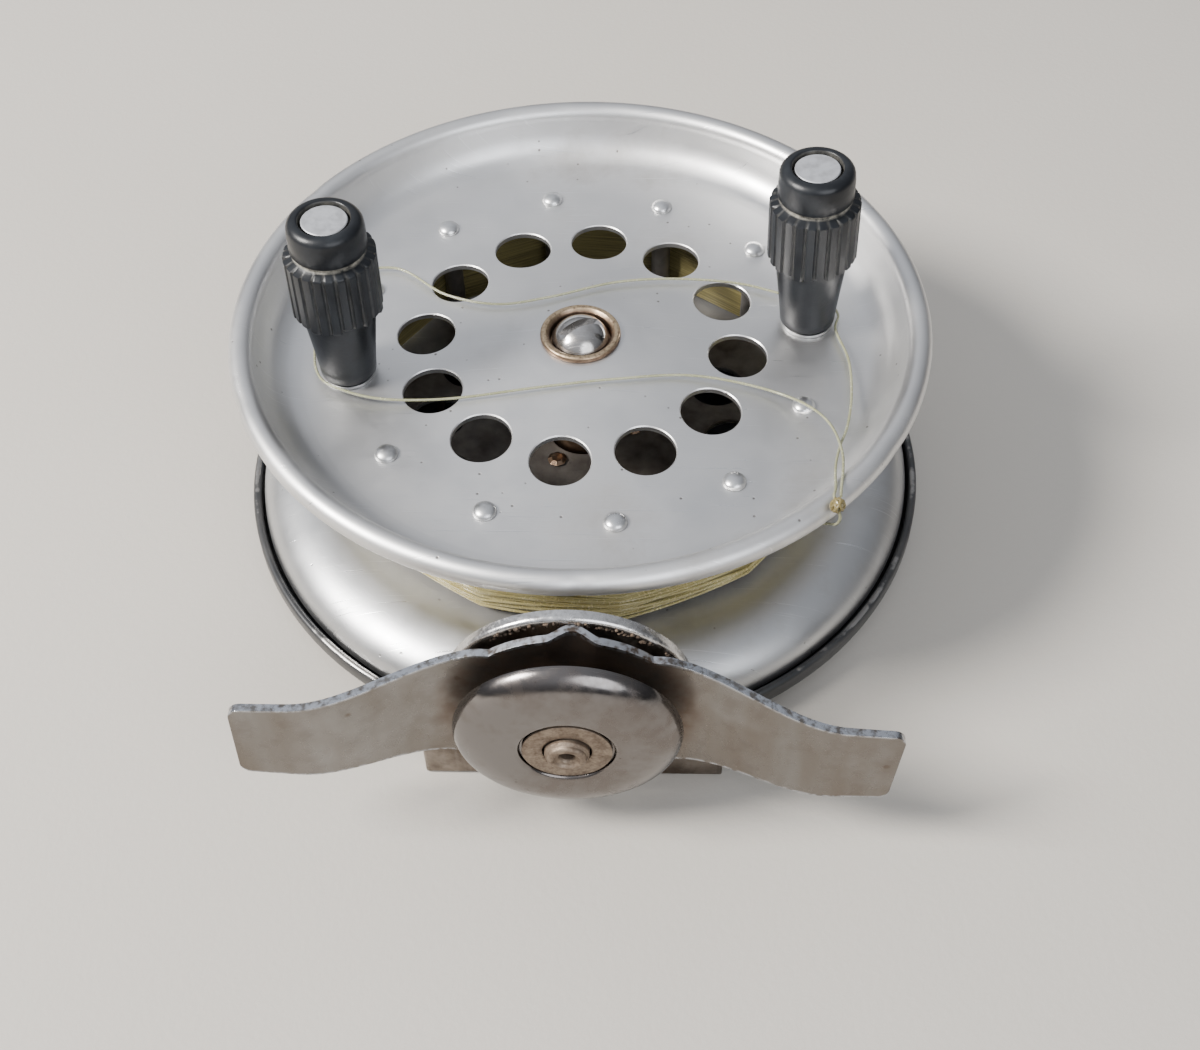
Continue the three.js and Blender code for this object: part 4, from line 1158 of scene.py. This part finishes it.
def foot_stations():
    stations = [0.35 * i for i in range(28)]
    stations += [HUMP_HALF_CHORD - 0.01, HUMP_HALF_CHORD]
    x = HUMP_HALF_CHORD
    while x < FOOT_HALF_LENGTH - CORNER_RADIUS - 0.6:
        x += 0.7
        stations.append(x)
    corner_steps = 9
    start = FOOT_HALF_LENGTH - CORNER_RADIUS
    for i in range(corner_steps + 1):
        stations.append(start + CORNER_RADIUS * math.sin(math.pi / 2 * i / corner_steps))
    return [-s for s in reversed(stations[1:])] + stations


def rim_of(columns):
    """The loop of vertices round a grid given as columns."""
    low, high = [c[0] for c in columns], [c[-1] for c in reversed(columns)]
    return low + columns[-1][1:-1] + high + columns[0][-2:0:-1]


def make_foot():
    rows = 30
    bm = bmesh.new()
    grid = {"front": [], "back": []}
    for x in foot_stations():
        away = abs(x)
        slope = (foot_front(away + 0.01) - foot_front(away)) / 0.01
        for side, through in (("front", 0.0), ("back", FOOT_THICKNESS * math.hypot(1, slope))):
            column = []
            for row in range(rows + 1):
                share = 2 * row / rows - 1
                height = (share + 0.12 * share * (1 - share * share)) * foot_half_width(away)
                depth = foot_front(away) + tooth_depth(away, height) + through
                column.append(bm.verts.new((x, depth, height)))
            grid[side].append(column)
    front, back = grid["front"], grid["back"]
    for columns in (front, back):
        for left, right in zip(columns, columns[1:]):
            for row in range(rows):
                bm.faces.new((left[row], right[row], right[row + 1], left[row + 1]))
    bridge(bm, rim_of(front), rim_of(back))
    made = mesh_object("foot_skin", bm, "foot_steel")
    bored(made, "foot_steel", PIVOT_HOLE, -62, -50, spin="Y")
    reshaded(made)
    paint(made, "edge", lambda spot: smoothstep(0.32, 0.04, foot_half_width(abs(spot.x)) - abs(spot.z)))
    # Painted shade with brown dirt round the cap.
    paint(made, "shade_and_dirt_round_cap", lambda spot: smoothstep(18.0, 14.5, math.hypot(spot.x, spot.z)))
    turn = Matrix.Translation(PIVOT * MM) @ Matrix.Rotation(math.radians(FOOT_TURN), 4, "Y")
    made.data.transform(turn)
    edge_softened(made, 0.22, 3)
    place(made, "rod_foot", "foot_steel", "foot")


make_foot()


# ---- swivel: pin, spring, cap and washer ----------------------------------

CAP = {"flat": 9.0, "recess": 6.0, "recess_depth": 0.7, "wall": 0.9, "bore": 3.3, "lip": 0.65}
PIN = {"tail": 5.0, "shank": 3.0, "neck": 2.85, "bore": 0.95}
WASHER_BORE = 3.12
SWIVEL_SPRING = {"radius": 6.3, "wire": 0.55, "turns": 2.5, "steps": 150}


def cap_shoulder(flat, front, reach, drop, steps=22):
    """A quarter of an ellipse from the cap's flat out to its edge, as (radius, depth) pairs."""
    points = []
    for i in range(steps + 1):
        angle = math.pi / 2 * i / steps
        points.append((flat + reach * math.sin(angle), front + drop * (1 - math.cos(angle))))
    return points


def make_cap():
    radius = (CAP_HIGH.x - CAP_LOW.x) / 2
    rear, front = CAP_HIGH.y, CAP_LOW.y
    flat, recess, wall, bore, lip_radius = (CAP[key] for key in ("flat", "recess", "wall", "bore", "lip"))
    floor = front + CAP["recess_depth"]
    reach, drop = radius - flat, rear - front
    inside = cap_shoulder(flat, front + wall, reach - wall, drop - wall)
    web = [(recess, floor), (bore, floor), (bore, floor + wall), (recess + wall, floor + wall)]
    web.append((recess + wall + 0.4, front + wall + 0.2))
    lip = arc((recess + lip_radius, front + lip_radius), lip_radius, 270, 180, 9)
    profile = [*cap_shoulder(flat, front, reach, drop)[::-1], *lip, *web, *inside]
    bm = bmesh.new()
    revolve(bm, profile, 128, PIVOT_XZ, "Y")
    made = edge_softened(mesh_object("spring_cap_skin", bm, "chrome"), 0.1, 2)
    place(made, "swivel", "chrome", "spring_cap")


def make_pin():
    low, high = box_mm("pivot_pin")
    front, back = low.y, high.y
    tail, shank, neck, bore = PIN["tail"], PIN["shank"], PIN["neck"], PIN["bore"]
    side = [(tail, back - 1.2), (shank, back - 1.2), (shank, CAP_LOW.y + 1.3), (neck, CAP_LOW.y + 1.1)]
    crown = [(neck, front + 1.0), *arc((1.95, front + 0.6), 0.6, 0, -90, 8)]
    crater = [(1.75, front + 0.04), (1.45, front + 0.4), (1.1, front + 0.6), (bore, front + 0.9)]
    inside = [*crater, (bore, front + 2.2), (0, front + 2.2)]
    profile = [(0, back), (tail - 0.6, back), (tail, back - 0.5), *side, *crown, *inside]
    made = turned("pivot_pin_skin", profile, "tarnished_steel", 48, 0.06, PIVOT_XZ, "Y")
    place(made, "swivel", "tarnished_steel", "pivot_pin")


def make_cap_washer():
    low, high = box_mm("cap_washer")
    outer, bore = (high.x - low.x) / 2, WASHER_BORE
    face = [(outer, low.y + 0.1), (outer - 0.4, low.y), (bore + 0.3, low.y), (bore, low.y + 0.15)]
    profile = [(bore, high.y), (outer, high.y), *face]
    made = turned("cap_washer_skin", profile, "tarnished_steel", 64, 0.06, PIVOT_XZ, "Y")
    place(made, "swivel", "tarnished_steel", "cap_washer")


def make_swivel_spring():
    low, high = box_mm("swivel_spring")
    radius, wire, steps = SWIVEL_SPRING["radius"], SWIVEL_SPRING["wire"], SWIVEL_SPRING["steps"]
    rear, front = high.y - wire, low.y + wire
    points = []
    for i in range(steps + 1):
        angle = TAU * SWIVEL_SPRING["turns"] * i / steps + math.radians(FOOT_TURN)
        depth = rear + (front - rear) * i / steps
        points.append((PIVOT.x + radius * math.cos(angle), depth, PIVOT.z - radius * math.sin(angle)))
    bm = bmesh.new()
    tube(bm, points, wire, 14)
    made = mesh_object("swivel_spring_coil", bm, "spring_steel")
    place(made, "swivel", "spring_steel", "swivel_spring")
    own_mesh(made)


make_cap()
make_pin()
make_cap_washer()
make_swivel_spring()


# ---- hub ------------------------------------------------------------------

BUSH = {"bore": 3.2, "barrel": 4.9, "rim": 5.85, "recess": 4.5, "step": 29.6}
SCREW = {"head": 4.15, "head_bottom": 30.2, "crown": 4.75, "shank": 1.4}
SLOT = {"width": 1.4, "floor": 32.0, "turn": 29, "length": 12, "height": 4}
SPINDLE = {"radius": 3.0, "flange": 8.5, "flange_top": 4.9, "thread": 1.7, "thread_depth": 8}


def make_bush():
    low, high = (corner.z for corner in box_mm("hub_bush"))
    seat = FRONT_FACE + DOME_RISE + 0.05
    bore, barrel, rim, recess, step = BUSH.values()
    crown = arc((rim - 0.45, high - 0.45), 0.45, 0, 90, 6)
    well = [(recess + 0.5, high - 0.06), (recess + 0.1, high - 0.5), (recess, high - 0.8)]
    well += [(recess, step), (bore, step)]
    profile = [(bore, low), (barrel, low), (barrel, seat), (rim, seat), *crown, *well]
    bm = bmesh.new()
    revolve(bm, rounded(profile, 0.05), 96)
    made = mesh_object("hub_bush_skin", bm, "brass")
    # The top of the ring gets a painted golden highlight.
    paint(made, "edge", lambda spot: smoothstep(high - 0.3, high, spot.z))
    place(made, "spool", "brass", "hub_bush")


def make_screw():
    low, high = box_mm("spool_screw")
    head, bottom, crown, shank = SCREW.values()
    dome = arc((0, high.z - crown), crown, math.degrees(math.acos((head - 0.1) / crown)), 90, 14)
    dome[-1] = (0, high.z)
    neck = [(0, low.z), (shank, low.z), (shank, bottom), (head - 0.2, bottom), (head, bottom + 0.3)]
    bm = bmesh.new()
    revolve(bm, [*neck, (head, bottom + 0.75), *dome], 72)
    made = mesh_object("spool_screw_skin", bm, "screw_chrome")
    bm = bmesh.new()
    bmesh.ops.create_cube(bm, size=1.0)
    turn = Matrix.Rotation(math.radians(SLOT["turn"]), 3, "Z")
    bmesh.ops.scale(bm, vec=(SLOT["length"], SLOT["width"], SLOT["height"]), verts=bm.verts[:])
    bmesh.ops.rotate(bm, matrix=turn, verts=bm.verts[:])
    bmesh.ops.translate(bm, vec=(0, 0, SLOT["floor"] + SLOT["height"] / 2), verts=bm.verts[:])
    carved(made, mesh_object("slot", bm, "screw_chrome"))
    reshaded(made)
    edge_softened(made, 0.12, 2)
    place(made, "frame", "chrome", "spool_screw")


def make_spindle():
    low, high = box_mm("spindle")
    seat = PLATE_LOW.z + RIVET_SEAT
    radius, flange, flange_top, thread, depth = SPINDLE.values()
    profile = [(0, low.z), (radius, low.z), (radius, seat), (flange, seat), (flange, flange_top)]
    profile += [(radius, flange_top), (radius, high.z), (thread, high.z)]
    profile += [(thread, high.z - depth), (0, high.z - depth)]
    made = turned("spindle_skin", profile, "plain_steel", 64, 0.2)
    place(made, "frame", "plain_steel", "spindle")


make_bush()
make_screw()
make_spindle()


# ---- cage pillars ---------------------------------------------------------

PILLAR = {"head": 1.68, "tenon": 1.0, "rod": 1.5}
SEAT_GAP = 0.05
ROD_GAP = 0.1


def domed(seat, radius, height):
    """The profile of a rounded rivet head on a seat; a height below 0 turns it over."""
    points = oval((0, seat), radius, height, 0, 90, 6)
    points[-1] = (0, seat + height)
    return points


def make_pillars():
    head, tenon, rod = PILLAR.values()
    rear, front = REAR_BACK - SEAT_GAP, FRONT_FACE + SEAT_GAP
    rod_rear, rod_front = REAR_FACE + ROD_GAP, FRONT_INNER - ROD_GAP
    shaft = [(tenon, rear), (tenon, rod_rear), (rod, rod_rear)]
    shaft += [(rod, rod_front), (tenon, rod_front), (tenon, front)]
    for node in PILLARS:
        low, high = box_mm(node)
        middle = (low + high) / 2
        rear_head = domed(rear, head, low.z - rear)[::-1]
        profile = [*rear_head, *shaft, *domed(front, head, high.z - front)]
        bm = bmesh.new()
        revolve(bm, profile, 32, (middle.x, middle.y))
        made = mesh_object(f"{node}_skin", bm, "pillar_aluminium")
        # Painted shade on the rod between the flanges.
        paint(made, "shaded", lambda spot: 1.0 if REAR_FACE < spot.z < FRONT_INNER else 0.0)
        place(made, "spool", "pillar_aluminium", node)


make_pillars()


# ---- handles --------------------------------------------------------------

RIBS = 24
HANDLE_BEND = 29.0
HANDLE_LEAN = {"left": 0.95, "right": -1.9}
GRIP = {
    "bottom": 29.55,
    "cone_top": 41.65,
    "rib_top": 51.5,
    "groove_top": 52.3,
    "top": 56.85,
    "base_radius": 4.0,
    "cone_radius": 5.1,
    "rib_radius": 6.3,
    "rib_root": 5.95,
    "groove_radius": 4.85,
    "cap_radius": 5.24,
    "bore": 2.2,
    "recess_radius": 3.5,
    "recess_floor": 55.25,
}
HANDLE_SPINDLE = {"head": 2.0, "tenon": 1.3, "rod": 1.75, "disc": 3.1, "top": 56.55}
WASHER_HOLE = 2.1


def leaned(bm, side, centre):
    """Tilts everything above the bend of the handle's spindle about Y."""
    turn = Matrix.Rotation(math.radians(HANDLE_LEAN[side]), 3, "Y")
    foot = Vector((centre.x, centre.y, HANDLE_BEND))
    for vert in bm.verts:
        if vert.co.z > HANDLE_BEND:
            vert.co = foot + turn @ (vert.co - foot)


def grip_levels(bottom, top):
    """The grip's outline from its base to the rim of its recess, as (radius, height) pairs without ribs."""
    g = GRIP
    levels = [(g["base_radius"] - 0.25, bottom), (g["base_radius"], bottom + 0.3)]
    cone_steps = 8
    for i in range(1, cone_steps + 1):
        t = i / cone_steps
        radius = g["base_radius"] + (g["cone_radius"] - g["base_radius"]) * t**1.15
        levels.append((radius, bottom + 0.3 + (g["cone_top"] - 1.3 - bottom) * t))
    rib_steps = 44
    start = levels[-1][1]
    for i in range(1, rib_steps + 1):
        levels.append((g["cone_radius"], start + (g["rib_top"] - start) * i / rib_steps))
    levels += [(g["groove_radius"], g["rib_top"] + 0.15), (g["groove_radius"], g["groove_top"] - 0.2)]
    levels += [(g["cap_radius"] - 0.08, g["groove_top"] - 0.02), (g["cap_radius"], g["groove_top"] + 0.15)]
    levels += [(g["cap_radius"], top - 1.9), (g["cap_radius"] - 0.06, top - 1.5)]
    levels += arc((g["cap_radius"] - 1.4, top - 1.35), 1.35, 15, 90, 8)
    levels += [(g["recess_radius"] + 0.1, top - 0.05), (g["recess_radius"], top - 0.2)]
    levels += [(g["recess_radius"], g["recess_floor"]), (g["bore"], g["recess_floor"]), (g["bore"], bottom)]
    return levels


def make_grip(side, seed):
    rng = random.Random(seed)
    middle = centre_mm(f"handle_washer_{side}")
    g = GRIP
    per_rib = 12
    count = RIBS * per_rib
    foot_of_rib = [g["cone_top"] + rng.uniform(-0.35, 0.5) for _ in range(RIBS)]
    top_of_rib = [g["rib_top"] - rng.uniform(0.0, 0.2) for _ in range(RIBS)]
    lift = [rng.uniform(0.8, 1.0) for _ in range(RIBS)]
    bm = bmesh.new()
    layer = bm.verts.layers.float.new("groove")
    loops = []
    for radius, height in grip_levels(g["bottom"], g["top"]):
        ribbed = radius == g["cone_radius"] and height < g["rib_top"] + 0.01
        loop = []
        for k in range(count):
            rib = k // per_rib
            phase = (k % per_rib + 0.5) / per_rib
            crest = smoothstep(0.06, 0.2, min(phase, 1 - phase))
            rise = smoothstep(foot_of_rib[rib] - 0.25, foot_of_rib[rib] + 0.15, height)
            fall = 1 - smoothstep(top_of_rib[rib] - 0.3, top_of_rib[rib] + 0.1, height)
            body = g["rib_root"] - radius + (g["rib_radius"] - g["rib_root"]) * crest * lift[rib]
            reach = body * rise * fall if ribbed else 0.0
            angle = TAU * k / count
            x, y = (radius + reach) * math.cos(angle), (radius + reach) * math.sin(angle)
            vert = bm.verts.new((x + middle.x, y + middle.y, height))
            in_groove = (1 - crest) * rise if ribbed else 0.0
            in_ring = 1.0 if g["rib_top"] < height < g["groove_top"] - 0.05 else 0.0
            near_recess = 0.2 if radius <= g["recess_radius"] + 0.01 and height > g["cone_top"] else 0.0
            vert[layer] = max(0.1 * in_groove, in_ring, near_recess)
            loop.append(vert)
        loops.append(loop)
    skin(bm, [*loops, loops[0]])
    leaned(bm, side, middle)
    made = mesh_object(f"grip_{side}_moulding", bm, "bakelite", sharp=50)
    place(made, f"{side}_handle", "bakelite", f"grip_{side}")


def make_handle_spindle(side):
    node = f"handle_spindle_{side}"
    middle = centre_mm(f"handle_washer_{side}")
    rear, rod_rear = REAR_BACK - SEAT_GAP, REAR_FACE + ROD_GAP
    under_disc = GRIP["recess_floor"] + 0.3
    head, tenon, rod, disc, top = HANDLE_SPINDLE.values()
    profile = domed(rear, head, box_mm(node)[0].z - rear)[::-1]
    profile += [(tenon, rear), (tenon, rod_rear), (rod, rod_rear), (rod, HANDLE_BEND)]
    profile += [(rod, under_disc), (disc, under_disc), (disc, top - 0.12)]
    profile += [(disc - 0.12, top - 0.02), (0.6 * disc, top), (0, top - 0.02)]
    bm = bmesh.new()
    revolve(bm, profile, 64, (middle.x, middle.y))
    for face in bm.faces:
        face.material_index = 1 if face.calc_center_median().z > top - 0.3 else 0
    leaned(bm, side, middle)
    made = mesh_object(f"{node}_skin", bm, ["pillar_aluminium", "handle_end"])
    # Painted shade on the rod below the front flange.
    paint(made, "shaded", lambda spot: 1.0 if spot.z < FRONT_INNER else 0.0)
    place(made, "spool", "pillar_aluminium", node)


def make_handle_washer(side):
    node = f"handle_washer_{side}"
    low, high = box_mm(node)
    middle = (low + high) / 2
    outer = (high.x - low.x) / 2
    profile = [(WASHER_HOLE, low.z - 0.25), (outer, low.z - 0.25), (outer, high.z - 0.1)]
    profile += [(outer - 0.15, high.z), (WASHER_HOLE, high.z)]
    made = turned(f"{node}_skin", profile, "washer_metal", 64, 0.06, (middle.x, middle.y))
    place(made, "spool", "plain_steel", node)


for number, handle_side in enumerate(SIDES):
    make_grip(handle_side, 5 + number)
    make_handle_spindle(handle_side)
    make_handle_washer(handle_side)


# ---- wound line -----------------------------------------------------------

WOUND = {"phase": 9.5, "corner": 38.2, "strands": 40, "steps": 8}
WOUND_LAYERS = (0.0, 0.05, 0.28, 0.42)
SIDE_STEPS = (0.0, 0.1, 0.25, 0.4, 0.6, 0.75, 0.9)
CORE_BORE = 35.68
CORE_SHOULDER = 37.3
CORE_RADIUS = 37.55


def round_side(radius, start, t, bulge):
    """A place along one side of the twelve-cornered winding, pushed outwards in the middle of the side."""
    there = start + TAU / PLACES
    x = (1 - t) * math.cos(start) + t * math.cos(there)
    y = (1 - t) * math.sin(start) + t * math.sin(there)
    reach = radius + 4 * t * (1 - t) * bulge
    return x * reach, y * reach


def make_wound_line():
    """A twelve-cornered core of turns, with separate strands laid over and under each other outside it."""
    rng = random.Random(3)
    phase, strands, steps = math.radians(WOUND["phase"]), WOUND["strands"], WOUND["steps"]
    low, high = (corner.z for corner in box_mm("line_pack"))
    bm = bmesh.new()
    core = [(CORE_BORE, low), (CORE_SHOULDER, low), (CORE_RADIUS, low + 1.2)]
    core += [(CORE_RADIUS, high - 1.2), (CORE_SHOULDER, high), (CORE_BORE, high)]
    loops = []
    for radius, height in core:
        bulge = 0.0 if radius == CORE_BORE else 0.5
        loop = []
        for i in range(steps * PLACES):
            x, y = round_side(radius, phase + TAU * (i // steps) / PLACES, i % steps / steps, bulge)
            loop.append(bm.verts.new((x, y, height)))
        loops.append(loop)
    skin(bm, [*loops, loops[0]])
    core_faces = len(bm.faces)
    for number in range(strands):
        home = low + 0.5 + (high - low - 1.0) * (number + rng.uniform(-0.3, 0.3)) / (strands - 1)
        outermost = WOUND["corner"] - LINE_RADIUS - 0.03
        reach = outermost - rng.choice(WOUND_LAYERS)
        heights = [min(high - 0.3, max(low + 0.3, home + rng.gauss(0, 0.55))) for _ in range(PLACES)]
        points = []
        for i in range(PLACES):
            z0, z1 = heights[i], heights[(i + 1) % PLACES]
            bulge = rng.uniform(0.4, 0.75)
            for t in SIDE_STEPS:
                x, y = round_side(reach, phase + TAU * i / PLACES, t, bulge)
                points.append((x, y, z0 + (z1 - z0) * t))
        tube(bm, points, LINE_RADIUS, 6, closed=True)
    made = mesh_object("wound_line", bm, ["wound_nylon", "shaded_wound_core"], sharp=60)
    for index, face in enumerate(made.data.polygons):
        face.material_index = 1 if index < core_faces else 0
    place(made, "spool", "nylon_line", "line_pack")


make_wound_line()


# ---- kept CAD nodes -------------------------------------------------------

KEPT_FINISH = {
    "thrust_washer": "plain_steel",
    "foot_washer": "tarnished_steel",
    "click_gear": "brass",
    **{f"gear_rivet_{i + 1}": "brass" for i in range(3)},
    "click_pawl": "brass",
    "pawl_post": "plain_steel",
    "click_spring": "spring_steel",
    "click_spring_rivet": "plain_steel",
}

for kept_node, finish in KEPT_FINISH.items():
    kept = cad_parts[kept_node]
    kept.data.materials.clear()
    kept.data.materials.append(MATERIALS[finish])
    edge_softened(kept, 0.08, 2, 30)


# ---- studio ---------------------------------------------------------------

# Colour of the surroundings by height, 0 at the horizon and 1 overhead.
SKY = [
    (0.0, (0.16, 0.16, 0.165)),
    (0.22, (0.34, 0.35, 0.38)),
    (0.5, (0.74, 0.77, 0.83)),
    (1.0, (0.88, 0.92, 1.0)),
]
# Their strength, falling from the -X side to the +X side.
SKY_FADE = {"From Min": -0.1, "From Max": 0.8, "To Min": 0.9, "To Max": 0.38}
LIGHT_AIM = (0, 0, 0.02)


def make_floor():
    bm = bmesh.new()
    bmesh.ops.create_grid(bm, x_segments=1, y_segments=1, size=4000)
    floor = mesh_object("studio_floor", bm, "floor")


def area_light(name, place_at, size, power, color):
    data = bpy.data.lights.new(name, "AREA")
    data.shape = "DISK"
    data.size = size
    data.energy = power
    data.color = color
    light = new_object(name, data)
    light.location = place_at
    light.rotation_euler = (Vector(LIGHT_AIM) - Vector(place_at)).to_track_quat("-Z", "Y").to_euler()


def make_world():
    """Soft studio surroundings: pale overhead, darker towards the horizon and dimmer on the +X side."""
    world = bpy.data.worlds.new("studio")
    world.use_nodes = True
    tree = world.node_tree
    background = tree.nodes["Background"]
    coords = tree.nodes.new("ShaderNodeTexCoord")
    split = tree.nodes.new("ShaderNodeSeparateXYZ")
    ramp = tree.nodes.new("ShaderNodeValToRGB")
    tree.links.new(coords.outputs["Generated"], split.inputs["Vector"])
    tree.links.new(split.outputs["Z"], ramp.inputs["Fac"])
    side = tree.nodes.new("ShaderNodeMapRange")
    for key, value in SKY_FADE.items():
        side.inputs[key].default_value = value
    tree.links.new(split.outputs["X"], side.inputs["Value"])
    tree.links.new(side.outputs["Result"], background.inputs["Strength"])
    tree.links.new(ramp.outputs["Color"], background.inputs["Color"])
    stops = ramp.color_ramp.elements
    for height, _ in SKY[1:-1]:
        stops.new(height)
    for stop, (_, color) in zip(stops, SKY):
        stop.color = (*color, 1)
    bpy.context.scene.world = world


make_floor()
make_world()
area_light("key", (-0.62, -0.16, 0.62), 0.3, 19.0, (1.0, 0.97, 0.93))
area_light("fill", (0.4, -0.75, 0.6), 0.75, 6.0, (0.92, 0.95, 1.0))
bpy.context.scene.view_settings.view_transform = "AgX"
